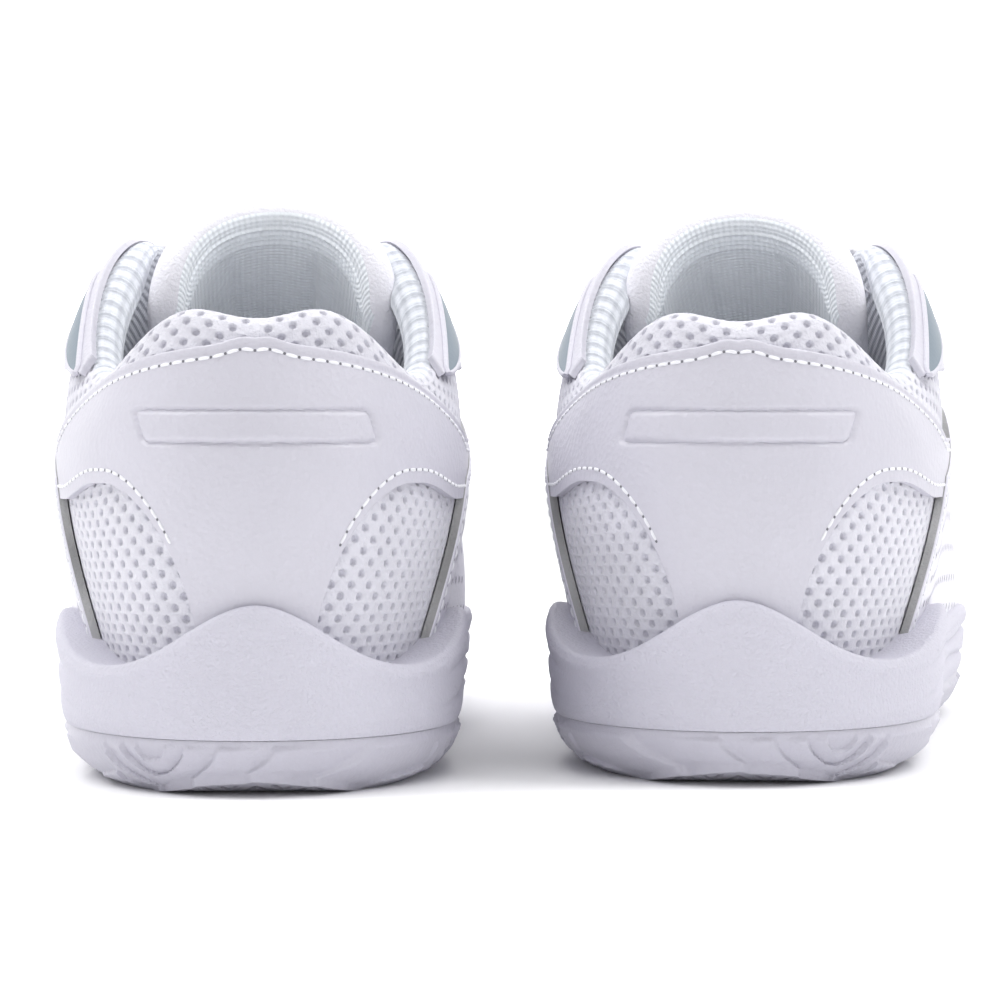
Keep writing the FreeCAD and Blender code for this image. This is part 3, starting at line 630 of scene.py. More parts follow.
def honeycomb(surface, wide, high, keep):
    """Cells in offset rows over surface(u, v, out), u and v in millimetres; keep(u, v) says where."""
    rows, cols = int(high / PITCH_UP) + 1, int(wide / PITCH_ACROSS) + 2
    r, c = (grid.ravel() for grid in np.meshgrid(np.arange(rows), np.arange(-1, cols), indexing="ij"))
    centre_u, centre_v = 4 * c + 2 * (r % 2), 2 * r + 1
    u, v = centre_u * PITCH_ACROSS / 4, centre_v * PITCH_UP / 2
    margin = 0.49 * PITCH_ACROSS
    inside = (u > -margin) & (u < wide + margin) & (v < high)
    inside[inside] &= keep(np.clip(u[inside], 0, wide), v[inside])
    u, v, centre_u, centre_v = u[inside], v[inside], centre_u[inside], centre_v[inside]
    keys = (centre_u[:, None] + AROUND_U + 8) * ROW_KEY + centre_v[:, None] + AROUND_V
    shared, index = np.unique(keys, return_inverse=True)
    index = index.reshape(keys.shape)
    edge_u = np.clip((shared // ROW_KEY - 8) * PITCH_ACROSS / 4, 0, wide)
    edge_v = np.clip(shared % ROW_KEY * PITCH_UP / 2, 0, high)
    angle = np.arctan2(AROUND_V * PITCH_UP / 2, AROUND_U * PITCH_ACROSS / 4)
    points = [surface(edge_u, edge_v, 0.0)]
    rings = [index]
    count = len(shared)
    for size, out in ((1.16, 0.05), (1.0, -0.12), (0.86, -0.4), (0.78, -HOLE_DEPTH)):
        ring_u = np.clip(u[:, None] + HOLE[0] * size * np.cos(angle), 0, wide)
        ring_v = v[:, None] + HOLE[1] * size * np.sin(angle)
        points.append(surface(ring_u, ring_v, out).reshape(-1, 3))
        rings.append(count + np.arange(ring_u.size).reshape(ring_u.shape))
        count += ring_u.size
    faces = []
    for outer, inner in zip(rings, rings[1:]):
        quads = np.stack([outer, np.roll(outer, -1, axis=1), np.roll(inner, -1, axis=1), inner], axis=-1)
        faces += quads.reshape(-1, 4).tolist()
    # Each hole's floor takes the second material, painted darker as shade in the hole.
    floors = rings[-1].tolist()
    shape = Shape()
    shape.add(np.concatenate(points), faces + floors, mark=[0] * len(faces) + [1] * len(floors))
    return shape


MESH_HIGH = 62.0                    # of the sides' mesh below the collar's roll


def side_surface(s_start, s_end):
    """Surface coordinates of a side of the upper: u runs along it and v up it and over the collar's roll."""
    s = np.linspace(s_start, s_end, 200)
    lengths = arc_lengths(skin(s, 0.55))

    def rib_of(u):
        return np.interp(u, lengths, s)

    def surface(u, v, out):
        u, v, out = np.broadcast_arrays(u, v, out)
        at = rib_of(u)
        side = skin(at, np.minimum(v / MESH_HIGH, 1) * roll_start(at), out)
        over = roll(at, np.maximum(v - MESH_HIGH, 0) / roll_radius(at), out)
        return np.where((v > MESH_HIGH)[..., None], over, side)
    return surface, rib_of, lengths[-1]


def covered(s, t):
    """Where the heel panel hides the spacer mesh."""
    from_heel = np.abs(s - HALF)
    low = rib_height(s, heel_bottom(from_heel + 0.2))
    high = rib_height(s, heel_top(np.minimum(from_heel, HEEL_REACH)))
    return (from_heel < HEEL_REACH - 0.15) & (t > low + 0.05) & (t < high - 0.04)


def build_side_mesh(name, s_start, s_end, nodes):
    surface, rib_of, wide = side_surface(s_start, s_end)

    def keep(u, v):
        s = rib_of(u)
        t = np.minimum(v / MESH_HIGH, 1) * roll_start(s)
        shown = ~covered(s, t) & ~under_side_panel(s, t) & (t > 0.04)
        return shown & ((v - MESH_HIGH) / roll_radius(s) < mesh_end(s))
    shape = honeycomb(surface, wide, MESH_HIGH + math.pi * 4.2, keep)
    place(name, shape, ("mesh_yarn", "mesh_back"), nodes=nodes, smooth=180)


# ---------------------------------------------------------------- stitching
STITCH_LONG, STITCH_GAP, THREAD = 1.95, 0.5, 0.6
NEEDLE_HOLE = 0.27


def stitch_line(threads, holes, path, normals):
    """Rows of stitches along a path of points on a surface, with a dark disc of painted shade for the needle
    hole between each pair.
    """
    distance = arc_lengths(path)
    count = max(1, int(distance[-1] / (STITCH_LONG + STITCH_GAP)))
    pace = distance[-1] / count

    def at(x):
        place_at = np.stack([np.interp(x, distance, path[:, k]) for k in range(3)], axis=-1)
        up = unit(np.stack([np.interp(x, distance, normals[:, k]) for k in range(3)], axis=-1))
        return place_at, up
    stations = np.array([0.0, 0.12, 0.35, 0.65, 0.88, 1.0])
    swell = np.array([0.35, 0.8, 1.0, 1.0, 0.8, 0.35])
    sides = 6
    turn = np.arange(sides) * 2 * math.pi / sides
    for i in range(count):
        x = i * pace + STITCH_GAP / 2 + stations * (pace - STITCH_GAP)
        centre, up = at(x)
        ahead = unit(np.gradient(centre, axis=0))
        across = unit(np.cross(ahead, up))
        height = np.sin(stations * math.pi) * 0.14 - 0.06
        circle = np.cos(turn)[:, None] * across[:, None] + 0.7 * np.sin(turn)[:, None] * up[:, None]
        rings = (centre + up * height[:, None])[:, None] + (THREAD / 2 * swell)[:, None, None] * circle
        rings = np.concatenate([rings, rings[:, :1]], axis=1)
        threads.grid(rings, flip=True)
        threads.add(rings[0, :sides], [tuple(range(sides))])
        threads.add(rings[-1, :sides], [tuple(range(sides))[::-1]])
        here, up = at(np.array([i * pace]))
        ahead, across = unit(centre[1] - centre[0]), across[0]
        disc = np.cos(turn)[:, None] * ahead + np.sin(turn)[:, None] * across
        # The needle hole is a dark disc of painted shade.
        holes.add(here[0] + up[0] * 0.03 + NEEDLE_HOLE * disc, [tuple(range(sides))])


def surface_path(s, t, out):
    """Points of the upper and the outward direction at each."""
    here = skin(s, t, out)
    return here, unit(skin(s, t, out + 1) - here)


SEAM_REACH, SEAM_HIGH, SEAM_SUNK = 0.075, 0.32, 0.25


def build_back_seam():
    """Rounded fold of mesh cloth over the join of the two sides."""
    f = np.linspace(-1.0, 1.0, 9)
    s, out = HALF + SEAM_REACH * f, SEAM_HIGH * np.sqrt(1 - f * f) - SEAM_SUNK
    rows = [skin(s, t * roll_start(s), out) for t in np.linspace(0.7, 1, 14)]
    rows += [roll(s, angle, out) for angle in np.linspace(0, math.radians(140), 16)[1:]]
    shape = Shape()
    shape.grid(np.array(rows), flip=True)
    place("back_seam", shape, "mesh_yarn", smooth=180)


# ---------------------------------------------------------------- heel panel
HEEL_REACH = 3.9                # how far its arms go from the heel, in ribs
PANEL_WIDE, PANEL_HIGH = 140.0, 45.0
HEEL_TOP, ARCH_LOW, ARCH_HIGH = 74.5, 21.0, 51.5        # heights
ARCH_CENTRE, ARCH_HALF = 1.75, 1.13     # of each window's arch, in ribs from the heel
ARM_DROP = 3.0
STEM_HALF = 0.85
STITCH_IN = 2.3
EMBLEM_Z, EMBLEM_HALF, EMBLEM_ROUND, EMBLEM_LEAN = 61.0, (18.5, 2.7), 1.0, 0.3
GROOVE_DEEP, GROOVE_HALF = 0.6, 0.36


def heel_top(from_heel):
    return HEEL_TOP - 1.6 * np.minimum(from_heel, 3.3) ** 1.9 + bump(from_heel, 0.12, 0.2)


def arm_drop(from_heel):
    return ARM_DROP * step(from_heel, 1.9, 2.9)


def heel_bottom(from_heel):
    """Half an ellipse over each window, then along the arm."""
    across = np.clip((ARCH_CENTRE - from_heel) / ARCH_HALF, 0, 1)
    return ARCH_LOW + (ARCH_HIGH - ARCH_LOW) * np.sqrt(1 - across ** 2) - arm_drop(from_heel)


def heel_middle(from_heel):
    """A line across the panel that stays above its arches."""
    arch = ARCH_HIGH - arm_drop(from_heel)
    return arch + 0.27 * (heel_top(from_heel) - arch)


def heel_region(a, b):
    from_heel = np.abs(2 * a - 1) * HEEL_REACH
    s = HALF + (2 * a - 1) * HEEL_REACH
    low, high = rib_height(s, heel_bottom(from_heel)), rib_height(s, heel_top(from_heel))
    middle = rib_height(s, heel_middle(from_heel))
    return s, np.where(b < 0.5, low + (middle - low) * 2 * b, middle + (high - middle) * (2 * b - 1))


def edge_path(region, out, edge, inset, start=0.02, end=0.98, count=300):
    """A path on a panel, inset millimetres inside its low or high b edge, or its high a edge."""
    run = np.linspace(start, end, count)
    if edge == "high_a":
        far, near = skin(*region(0 * run + 0.9, run), out), skin(*region(0 * run + 1, run), out)
        a = 1 - 0.1 * inset / np.linalg.norm(near - far, axis=-1)
        s, t = region(a, run)
    else:
        low, high = skin(*region(run, 0 * run), out), skin(*region(run, 0 * run + 1), out)
        inner = region(run, 0 * run + (0.1 if edge == "low_b" else 0.9))
        border = low if edge == "low_b" else high
        part = 0.1 * inset / np.linalg.norm(skin(*inner, out) - border, axis=-1)
        s, t = region(run, part if edge == "low_b" else 1 - part)
    return surface_path(s, t, out)


def stitch_edges(name, region, out, edges):
    """Stitches inside a panel's edges, each an (edge, inset, start, end)."""
    threads, holes = Shape(), Shape()
    for edge in edges:
        stitch_line(threads, holes, *edge_path(region, out, *edge))
    place(name + "_stitching", threads, "thread")
    place(name + "_needle_holes", holes, "needle_hole")


def build_heel_panel():
    out = GAP + LEATHER
    stem = 0.5 - STEM_HALF / (2 * HEEL_REACH)
    stitch_edges("heel", heel_region, out, [("high_b", STITCH_IN), ("low_b", STITCH_IN, 0.03, stem),
                                            ("low_b", STITCH_IN, 1 - stem, 0.97)])

    def relief(a, b):
        s, t = heel_region(a, b)
        at = skin(s, t)
        # Slanted lozenge: a shallow groove round a slightly raised middle.
        lean = (at[..., 2] - EMBLEM_Z) * EMBLEM_LEAN
        across = np.abs(at[..., 0] - lean) - EMBLEM_HALF[0] + EMBLEM_ROUND
        up = np.abs(at[..., 2] - EMBLEM_Z) - EMBLEM_HALF[1] + EMBLEM_ROUND
        inside = np.hypot(np.maximum(across, 0), np.maximum(up, 0)) - EMBLEM_ROUND
        inside = np.where((across < 0) & (up < 0), np.maximum(across, up) - EMBLEM_ROUND, inside)
        groove = 0.15 * step(inside, -0.4, -1.1) - GROOVE_DEEP * bump(inside, 0, GROOVE_HALF)
        # The stitching pulls the leather down along the top edge.
        return groove - 0.22 * bump((1 - b) * PANEL_HIGH, STITCH_IN, 0.7)
    shape = panel(heel_region, out, GAP, PANEL_WIDE, PANEL_HIGH, spacing=0.42, relief=relief)
    place("heel_panel", shape, "leather", nodes=("heel_overlay",))


# ---------------------------------------------------------------- side panels
SIDE_OUT = GAP + 1.9            # of the panel's face over the mesh


def side_rear(b):
    return 10.35 - 0.65 * b


def side_front(b):
    return 4.9 + 1.2 * b


def side_top(a):
    """Height t of the side panel's top edge, a from 0 in front to 1 behind."""
    return 0.62 - 0.07 * a ** 3 - 0.05 * np.sin(math.pi * a)


def under_side_panel(s, t):
    s = np.where(s > HALF, FULL - s, s)
    a = np.clip((s - 5.5) / (10.2 - 5.5), 0, 1)
    b = t / side_top(a)
    return (s > side_front(b) + 0.15) & (s < side_rear(b) - 0.12) & (b < 0.95)


def on_side(s, side):
    """The rib position s of the outer side (side 1), or the same place on the inner side (side -1)."""
    return s if side > 0 else FULL - s


def side_region(side):
    def region(a, b):
        s = side_front(b) * (1 - a) + side_rear(b) * a
        return on_side(s, side), 0.01 + (side_top(a) - 0.01) * b
    return region


PERFORATION = 0.75              # radius
PERFORATION_ROWS, PERFORATION_COLUMNS = 6, 17


def pressed_hole(shape, centre, ahead, across, up, profile, sides, floor, flip):
    """Pressed edge of a hole through (radius, height) steps, and its floor, a dark disc of painted shade."""
    turn = np.arange(sides + 1) * 2 * math.pi / sides
    ring = np.cos(turn)[:, None] * ahead + np.sin(turn)[:, None] * across
    rows = [centre + ring * radius + up * height for radius, height in profile]
    shape.grid(np.stack(rows), flip=flip)
    # The floor is a disc of the second material, dark as painted shade in the hole.
    shape.add(rows[-1][:sides] + up * floor, [tuple(range(sides))], mark=1)


def build_side_panel(word, side):
    region = side_region(side)
    shape = panel(region, SIDE_OUT, deep=0.3, width=130.0, height=42.0, radius=0.3, spacing=1.5,
                  flip=side > 0, raw=("high_a", "high_b"))
    # Its face is painted lighter than the heel panel's leather: painted light on the side.
    place(word + "_side_panel", shape, ("lit_side_leather", "raw_edge"), nodes=(word + "_quarter_overlay",))
    stitch_edges(word + "_side", region, SIDE_OUT, [("high_b", 2.0), ("high_a", 2.0, 0.03, 0.95)])
    punched = Shape()
    profile = [(PERFORATION * size, height)
               for size, height in ((1.25, 0.01), (1.1, 0.07), (1, 0.05), (0.92, 0))]
    for row in range(PERFORATION_ROWS):
        for column in range(PERFORATION_COLUMNS):
            a, b = 0.12 + (column + 0.5 * (row % 2)) * 0.049, 0.2 + row * 0.125
            s, t = region(np.array([a]), np.array([b]))
            centre, up = surface_path(s, t, SIDE_OUT)
            ahead = unit(skin(s + 0.02, t, SIDE_OUT) - centre)
            pressed_hole(punched, centre, ahead, np.cross(up, ahead), up, profile, 12, 0.03, side > 0)
    place(word + "_perforations", punched, ("lit_side_leather", "needle_hole"))


build_heel_panel()
build_side_panel("lateral", 1)
build_side_panel("medial", -1)
build_side_mesh("lateral_side_mesh", 4.0, HALF, ("lateral_quarter_mesh",))
build_side_mesh("medial_side_mesh", HALF, FULL - 4.0, ("medial_quarter_mesh",))
build_back_seam()


# ---------------------------------------------------------------- lining
def inner_depth(s, t):
    """Depth of the lining's face below the mesh's outer face."""
    stiffener = 1.3 * step(np.abs(s - HALF), 4.3, 3.4) * step(t, 0.72, 0.6)
    return UNDER + np.maximum(stiffener, FOAM * collar(s) * step(t, 0.5, 0.72))


UNDER_LINER = 7.0       # width of the lining's margin under the sock liner
EAR_RIB_PITCH, EAR_RIB_HIGH = 1.5, 0.32


def build_lining():
    """Ribbed knit over the collar's roll and down to the sock liner."""
    s = np.concatenate([np.arange(4.1, 8.0, 0.1), np.arange(8.0, 18.0, 0.009), np.arange(18.0, 21.95, 0.1)])
    lengths = arc_lengths(roll(s, math.pi / 2))
    ears = step(np.abs(s - HALF), 1.9, 2.4) * step(np.abs(s - HALF), 5.6, 5.2)
    ribs = EAR_RIB_HIGH * ears * (2 * np.abs(np.sin(lengths * math.pi / EAR_RIB_PITCH)) - 1)
    start = mesh_end(s) - math.radians(24)
    rows = []
    for f in np.linspace(0, 1, 12):
        fade = math.sin(math.pi * min(1, f * 6 + 0.05) / 2)
        rows.append(roll(s, start + (math.pi - start) * f, -0.4 + 0.4 * fade + ribs * fade))
    for f in np.linspace(0.04, 1, 22):
        t = roll_start(s) * (1 - f) + 0.02 * f
        rolled = step(f, 0.12, 0)
        depth = inner_depth(s, t) * (1 - rolled) + 2 * roll_radius(s) * rolled
        rows.append(skin(s, t, -depth - ribs * step(f, 0.35, 0.1)))
    rows.append(skin(s, 0.02, -inner_depth(s, 0.02) - UNDER_LINER))
    grid = np.stack(rows, axis=1)
    down = arc_lengths(grid[len(s) // 2])
    coordinates = np.stack(np.meshgrid(lengths, down, indexing="ij"), axis=-1)
    shape = Shape()
    shape.grid(grid, coordinates)
    place("lining", shape, "ear_knit", nodes=("collar_lining", "collar_foam"), smooth=180)


build_lining()


# ---------------------------------------------------------------- front of the upper
VAMP_END = 4.0
VAMP_HIGH = 58.0
TOE_REACH = 3.6         # of the toe panel, in ribs each way


def toe_top(a):
    return 0.3 + 0.18 * np.sin(math.pi * a)


def toe_region(a, b):
    return TOE_REACH * (2 * a - 1), 0.01 + toe_top(a) * b


def build_vamp(name, side, nodes):
    s = np.linspace(0, VAMP_END, 80)
    lengths = arc_lengths(skin(s, 0.45))

    def surface(u, v, out):
        u, v, out = np.broadcast_arrays(u, v, out)
        return skin(side * np.interp(u, lengths, s), np.minimum(v / VAMP_HIGH, 1), out)

    def keep(u, v):
        at = np.interp(u, lengths, s)
        return (v / VAMP_HIGH > toe_top((at + TOE_REACH) / (2 * TOE_REACH)) - 0.04) | (at > TOE_REACH - 0.15)
    shape = honeycomb(surface, lengths[-1], VAMP_HIGH, keep)
    if side < 0:
        shape.faces = [face[::-1] for face in shape.faces]
    place(name, shape, ("mesh_yarn", "mesh_back"), nodes=nodes, smooth=180)


def build_backing():
    """Plain cloth behind the open mesh, painted darker as shade seen through its holes."""
    s = np.linspace(-4.4, 4.4, 160)
    t = np.linspace(0.01, 0.985, 40)
    shape = Shape()
    shape.grid(skin(s[:, None], t[None, :] * roll_start(np.clip(s, 0, FULL))[:, None], -HOLE_DEPTH - 0.15))
    place("front_backing", shape, "mesh_back", smooth=180)


def build_toe():
    out = GAP + LEATHER
    shape = panel(toe_region, out, GAP, width=150.0, height=22.0, spacing=1.5)
    place("toe_panel", shape, "leather", nodes=("toe_overlay",))
    stitch_edges("toe_panel", toe_region, out, [("high_b", 2.0)])


EYESTAY_START, EYESTAY_END = 4.02, 9.95


def eyestay_low(s):
    """Lower edge of the strip along the laces, which widens into the leather on the collar's ear."""
    front = 0.80 - 0.12 * step(s, 4.2, 7.6)
    return front + (0.955 - front) * step(s, 8.3, 10.4)


def eyestay_region(side):
    def region(a, b):
        s = EYESTAY_START + (EYESTAY_END - EYESTAY_START) * a
        low = eyestay_low(s)
        return on_side(s, side), low + (1.0 - low) * b
    return region


HOLES, HOLE_T = 6, 0.9          # lace holes on each side, and their height up the rib
FIRST_HOLE, LAST_HOLE = 4.8, 7.35


def hole_frame(i, side):
    """Place, forward, inward and outward directions of a lace hole."""
    s = FIRST_HOLE + (LAST_HOLE - FIRST_HOLE) * i / (HOLES - 1)
    at = skin(side * np.array([s - 0.2, s, s + 0.2]), HOLE_T)
    up = unit(skin(side * s, HOLE_T, 1) - at[1])
    ahead = unit(at[0] - at[2])
    return s, at[1], ahead, unit(np.cross(up, ahead)) * side, up


def build_eyestay(word, side):
    out = GAP + LEATHER
    region = eyestay_region(side)
    shape = panel(region, out, GAP, width=130.0, height=20.0, spacing=1.0, flip=side > 0)
    place(word + "_eyestay", shape, "leather", nodes=(word + "_eyestay",))
    stitch_edges(word + "_eyestay", region, out, [("low_b", 1.9, 0.02, 0.62), ("high_b", 1.7, 0.02, 0.7)])
    eyelets = Shape()
    profile = [(radius, out + lift)
               for radius, lift in ((3.1, -0.12), (2.9, 0.1), (2.6, 0.22), (2.35, 0.12), (2.25, -0.3))]
    for i in range(HOLES):
        _, centre, ahead, inward, up = hole_frame(i, side)
        pressed_hole(eyelets, centre, ahead, inward, up, profile, 20, 0.35, True)
    place(word + "_eyelets", eyelets, ("leather", "needle_hole"))


def build_accent(word, side):
    """Glossy lens-shaped insert on the ear of the collar, with a raised leather border."""
    def region(a, b):
        half = 0.062 * np.sin(math.pi * np.clip(a, 0.001, 0.999)) ** 0.7 + 0.002
        return on_side(7.9 + 2.0 * a, side), 0.845 + 0.07 * a + half * (2 * b - 1)
    out = GAP + LEATHER
    shape = panel(region, out + 0.45, out - 0.2, width=40.0, height=8.0, radius=0.4, spacing=0.8,
                  flip=side > 0)
    place(word + "_accent", shape, "accent_gloss", nodes=(word + "_accent",))
    a = np.concatenate([np.linspace(0.01, 0.99, 80), np.linspace(0.99, 0.01, 80)[1:-1]])
    b = np.concatenate([np.zeros(80), np.ones(78)])
    place_cord(word + "_accent_border", *surface_path(*region(a, b), out + 0.1), 0.55)


def place_cord(name, centre, up, radius):
    """Closed cord of leather pressed on the surface along a loop."""
    ahead = unit(np.roll(centre, -1, axis=0) - np.roll(centre, 1, axis=0))
    across = unit(np.cross(ahead, up))
    turn = np.linspace(0, 2 * math.pi, 9)[None, :, None]
    grid = centre[:, None] + radius * (np.cos(turn) * across[:, None] + np.sin(turn) * up[:, None])
    shape = Shape()
    shape.grid(np.concatenate([grid, grid[:1]]))
    place(name, shape, "leather")


build_vamp("lateral_vamp", 1, ("vamp_mesh",))
build_vamp("medial_vamp", -1, ())
build_backing()
build_toe()
for word, side in (("lateral", 1), ("medial", -1)):
    build_eyestay(word, side)
    build_accent(word, side)


# ---------------------------------------------------------------- tongue
TONGUE_LINE = np.array([(195, 48.4), (150, 66), (114, 81), (92, 106)], float)
TONGUE_LEAN = 2.0
TONGUE_HALF = 3.5       # half its thickness
TONGUE_SPREAD = 0.23
TONGUE_LONG = 115.0


def tongue_arc(a):
    """Radius and half angle of the arc across the tongue."""
    return 34 - 10 * step(a, 0, 0.8), np.radians(47 + 33 * step(a, 0.1, 1.0))


def tongue_point(a, b, depth):
    """Points a up the tongue, b across it from -1 to 1, depth millimetres under its outer face."""
    a, b, depth = np.broadcast_arrays(a, b, depth)
    a = a * (1 - 0.1 * np.minimum(np.abs(b), 1) ** 4)
    w = bezier_weights(a) @ TONGUE_LINE
    d = np.stack([(1 - a) ** 2, 2 * a * (1 - a), a * a], axis=-1) @ np.diff(TONGUE_LINE, axis=0)
    d = unit(d)
    up = np.stack([0 * a, d[..., 1], -d[..., 0]], axis=-1)
    radius, half_angle = tongue_arc(a)
    angle = half_angle * b * (1 + TONGUE_SPREAD * step(a, 0.5, 0.85))
    centre = np.stack([-TONGUE_LEAN * a * a, w[..., 0], w[..., 1]], axis=-1) - up * radius[..., None]
    p = centre + up * ((radius - depth) * np.cos(angle))[..., None]
    p[..., 0] += (radius - depth) * np.sin(angle)
    return shape_foot(p)


TONGUE_RIB, TONGUE_RIBBED = 1.25, 5.0       # pitch of the ribs inside, and the width they cover


def build_tongue():
    """Padded tongue: rounded rim, mesh-like face outside, knit face inside with ribs along its edge."""
    top = 1 - TONGUE_HALF / TONGUE_LONG
    long = np.concatenate([np.linspace(0.0, top - 0.07, 60), np.linspace(top - 0.07, top, 55)[1:]])
    rows = [(a, TONGUE_HALF) for a in long]
    rows += [(top + math.sin(x) * TONGUE_HALF / TONGUE_LONG, TONGUE_HALF * math.cos(x))
             for x in np.linspace(0, math.pi / 2, 10)[1:]]
    b = np.concatenate([
        np.linspace(-1, -0.72, 50), np.linspace(-0.72, 0.72, 90)[1:-1], np.linspace(0.72, 1, 50)])
    turn = np.linspace(0, math.pi, 14)[1:-1]
    grid = []
    for a, half in rows:
        width = np.prod(tongue_arc(np.array(a)))
        edge = 1 - TONGUE_HALF / width
        from_top = max(0.0, (top - a) * TONGUE_LONG)
        outer = tongue_point(a, b * edge, TONGUE_HALF - half)
        rim = edge + half * np.sin(turn) / width
        side_in, side_out = (tongue_point(a, x, TONGUE_HALF - half * np.cos(turn)) for x in (rim, -rim))
        from_edge = np.minimum((1 - np.abs(b)) * edge * width, from_top)
        ribs = 0.5 * (1 - np.cos(2 * math.pi * from_edge / TONGUE_RIB)) * (from_edge < TONGUE_RIBBED)
        folds = bump(b, -0.3, 0.05) + bump(b, 0.33, 0.06) + 0.5 * bump(b, 0.05, 0.1)
        folds = 1.9 * step(from_edge, 6, 14) * folds
        relief = (0.5 * ribs - 0.4 * folds)[::-1] * half / TONGUE_HALF
        inner = tongue_point(a, b[::-1] * edge, TONGUE_HALF + half + relief)
        grid.append(np.concatenate([outer, side_in, inner, side_out[::-1], outer[:1]]))
    points = np.stack(grid)
    # The knit face takes the second material, painted lighter as painted light, from part way round the rim.
    columns = points.shape[1] - 1
    to_knit = len(turn) // 2 + len(turn) // 4
    knit = range(len(b) + to_knit, 2 * (len(b) + len(turn)) - to_knit)
    mark = [int(j in knit and i < len(long) + 4) for i in range(len(rows) - 1) for j in range(columns)]
    u, v = np.meshgrid(np.array([a for a, _ in rows]) * TONGUE_LONG, arc_lengths(points[len(long) // 2]),
                       indexing="ij")
    shape = Shape()
    shape.grid(points, np.stack([v, u], axis=-1), flip=True, mark=mark)
    shape.add(points[0, :-1], [tuple(range(columns))])
    place("tongue_pad", shape, ("tongue_mesh", "lit_lining_knit"), part="tongue",
          nodes=("tongue_shell", "tongue_foam", "tongue_lining"), smooth=180)


build_tongue()


# ---------------------------------------------------------------- laces
LACE_WIDE, LACE_THICK = 7.0, 1.5
LACE_OVER = GAP + LEATHER + 0.9         # height of its middle over the mesh


def lace_strip(shape, rows):
    """Flat braided band.

    Each row holds a centre, its width and thickness directions, and half its width and thickness.
    """
    table = np.array([np.concatenate([c, u, v, [w, h]]) for c, u, v, w, h in rows])
    table = np.concatenate([2 * table[:1] - table[1:2], table, 2 * table[-1:] - table[-2:-1]])
    fine = []
    for k in range(1, len(table) - 2):
        for f in np.linspace(0, 1, 6, endpoint=False):
            fine.append(np.array(spline_weights(f)) @ table[k - 1:k + 3])
    fine = np.array(fine)
    turn = np.linspace(0, 2 * math.pi, 21)
    cos, sin = np.cos(turn), np.sin(turn)
    flat_x = np.sign(cos) * np.abs(cos) ** 0.55
    flat_z = np.sign(sin) * np.abs(sin) ** 0.75
    centre, across, up = fine[:, 0:3], unit(fine[:, 3:6]) * fine[:, 9:10], unit(fine[:, 6:9]) * fine[:, 10:11]
    grid = centre[:, None] + flat_x[None, :, None] * across[:, None] + flat_z[None, :, None] * up[:, None]
    run = arc_lengths(centre)
    u = np.repeat(run[:, None], len(turn), axis=1)
    v = flat_x[None, :] * fine[:, 9:10]
    shape.grid(grid, np.stack([u, v], axis=-1))


def build_laces():
    shape = Shape()
    for i in range(HOLES):
        halves = []
        for side in (1, -1):
            s, at, ahead, inward, up = hole_frame(i, side)
            rows = [(at - up * 3.5, ahead, inward, 1.6, 0.8), (at - up * 1.0, ahead, inward, 1.8, 0.8),
                    (at + up * 1.2 + inward * 0.1, ahead, inward, 2.0, 0.8),
                    (at + up * (LACE_OVER + 0.3) + inward * 0.6, ahead, unit(inward - up), 2.5, 0.8),
                    (at + up * (LACE_OVER + 0.4) + inward * 2.2, ahead, -up, 3.2, 0.75)]
            for t in (0.95, 0.985):
                rows.append((skin(side * s, t, LACE_OVER + 0.1), ahead, -up, LACE_WIDE / 2, LACE_THICK / 2))
            edge = skin(side * s, 1.0, LACE_OVER - 0.3)
            rows.append((edge, ahead, -unit(up + np.array([0, 0, 0.6])), LACE_WIDE / 2, LACE_THICK / 2))
            halves.append(rows)
        left, right = halves[1][-1][0], halves[0][-1][0]
        lift = np.array([0, 0.4, 0.9])
        forward = unit(halves[0][-1][1] + halves[1][-1][1])
        middle = [(right * (1 - f) + left * f + lift * rise, forward, -lift, LACE_WIDE / 2, LACE_THICK / 2)
                  for f, rise in ((0.25, 0.9), (0.5, 1.3), (0.75, 0.9))]
        lace_strip(shape, halves[0] + middle + halves[1][::-1])
    place("lace_bars", shape, "lace_braid", nodes=("lace",), smooth=180)


build_laces()


# ---------------------------------------------------------------- camera, light and floor
def plain_plane(name, corners):
    mesh = bpy.data.meshes.new(name)
    mesh.from_pydata(corners, [], [(0, 1, 2, 3)])
    plane = bpy.data.objects.new(name, mesh)
    made = bpy.data.materials.new(name)
    made.use_nodes = True
    mesh.materials.append(made)
    bpy.context.scene.collection.objects.link(plane)
    return made.node_tree.nodes["Principled BSDF"]


def add_stage():
    """White floor, and a bright white screen far behind the shoes."""
    size = 3.0
    floor = plain_plane("floor", [(-size, -size, 0), (size, -size, 0), (size, size, 0), (-size, size, 0)])
    floor.inputs["Base Color"].default_value = (0.96, 0.96, 0.965, 1)
    floor.inputs["Roughness"].default_value = 0.8
    screen = plain_plane(
        "screen", [(-size, size, 0), (size, size, 0), (size, size, size), (-size, size, size)])
    screen.inputs["Base Color"].default_value = (0.9, 0.9, 0.9, 1)
    screen.inputs["Emission Color"].default_value = (1, 1, 1, 1)
    screen.inputs["Emission Strength"].default_value = 1.1


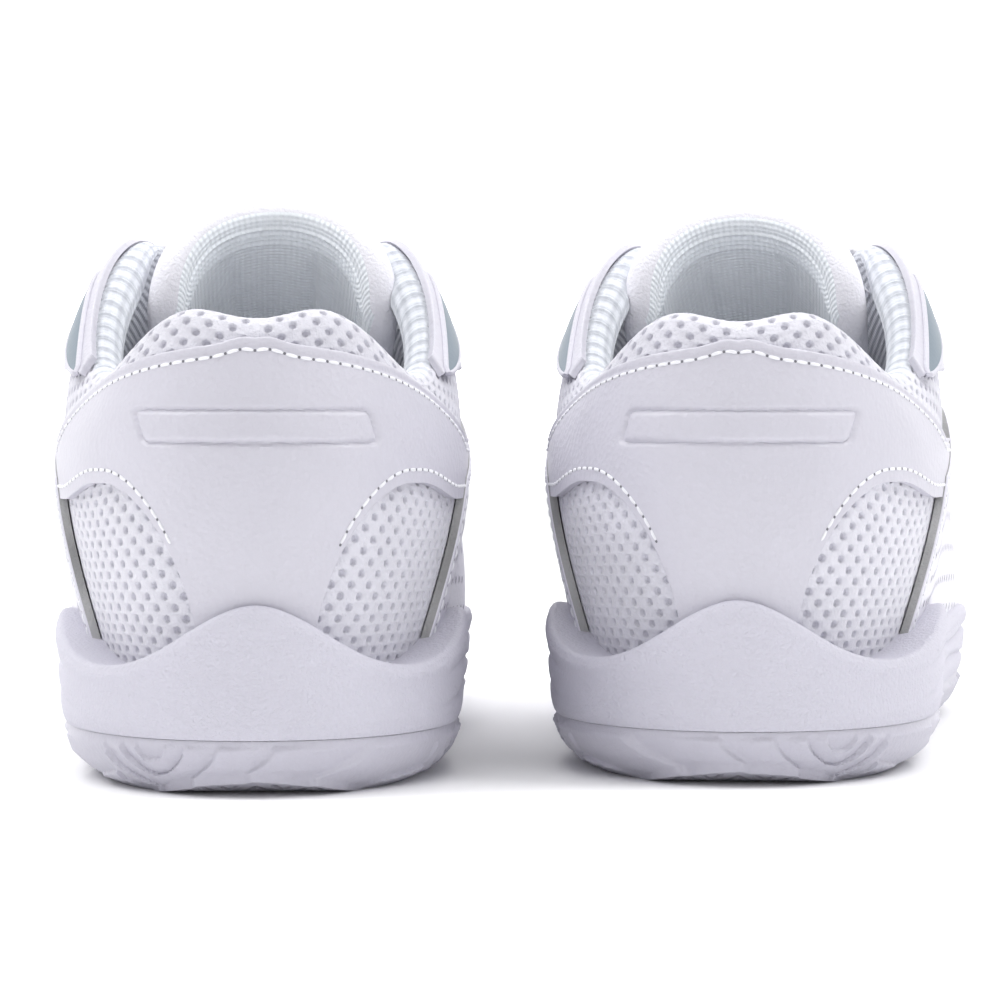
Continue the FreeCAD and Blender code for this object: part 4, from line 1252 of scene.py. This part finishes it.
# Soft lamps: name, place, target, power in watts, and width.
LAMPS = (
    ("left_key", (-0.55, -1.1, 0.35), (0, 0, 0.05), 0.8, 0.5),
    ("right_key", (0.55, -1.1, 0.35), (0, 0, 0.05), 0.9, 0.5),
    ("left_side", (-0.6, -0.08, 0.8), (0, -0.05, 0.05), 5.6, 0.6),
    ("right_side", (0.6, -0.08, 0.8), (0, -0.05, 0.05), 5.6, 0.6),
    ("top", (0, 0.15, 1.2), (0, 0, 0.0), 5.0, 0.8),
)
WORLD_LIGHT = 0.58


def add_lights():
    world = bpy.data.worlds.new("studio")
    world.use_nodes = True
    background = world.node_tree.nodes["Background"]
    background.inputs["Color"].default_value = (1, 1, 1, 1)
    background.inputs["Strength"].default_value = WORLD_LIGHT
    bpy.context.scene.world = world
    bpy.context.scene.view_settings.view_transform = "Standard"
    for name, place_at, target, power, size in LAMPS:
        light = bpy.data.lights.new(name, "AREA")
        light.energy, light.size = power, size
        lamp = bpy.data.objects.new(name, light)
        lamp.location = place_at
        lamp.rotation_euler = (Vector(target) - Vector(place_at)).to_track_quat("-Z", "Y").to_euler()
        bpy.context.scene.collection.objects.link(lamp)


CAMERA_BACK, CAMERA_HIGH = 0.560, 0.0606        # metres, back from the left heel
CAMERA_TILT = 1.18                              # degrees, downwards


def add_camera():
    camera = bpy.data.cameras.new("camera")
    camera.lens, camera.sensor_width = 123.5, 36.0
    camera.clip_start = 0.01
    holder = bpy.data.objects.new("camera", camera)
    _, _, left_x, left_y = PLACES["left"]
    holder.location = ((left_x + PLACES["right"][2]) / 2, left_y - CAMERA_BACK, CAMERA_HIGH)
    holder.rotation_euler = (math.radians(90 - CAMERA_TILT), 0, 0)
    bpy.context.scene.collection.objects.link(holder)
    bpy.context.scene.camera = holder


add_stage()
add_lights()
add_camera()


# ---------------------------------------------------------------- CAD nodes that stay
KEPT = {"insole_board": "board", "sock_liner": "liner_cloth", "heel_counter": "stiffener",
        "toe_puff": "stiffener"}
for prefix in SHOES:
    for node, material in KEPT.items():
        thing = frame["nodes"]["%s_%s" % (prefix, node)]
        thing.data.materials.clear()
        thing.data.materials.append(MATERIALS[material])
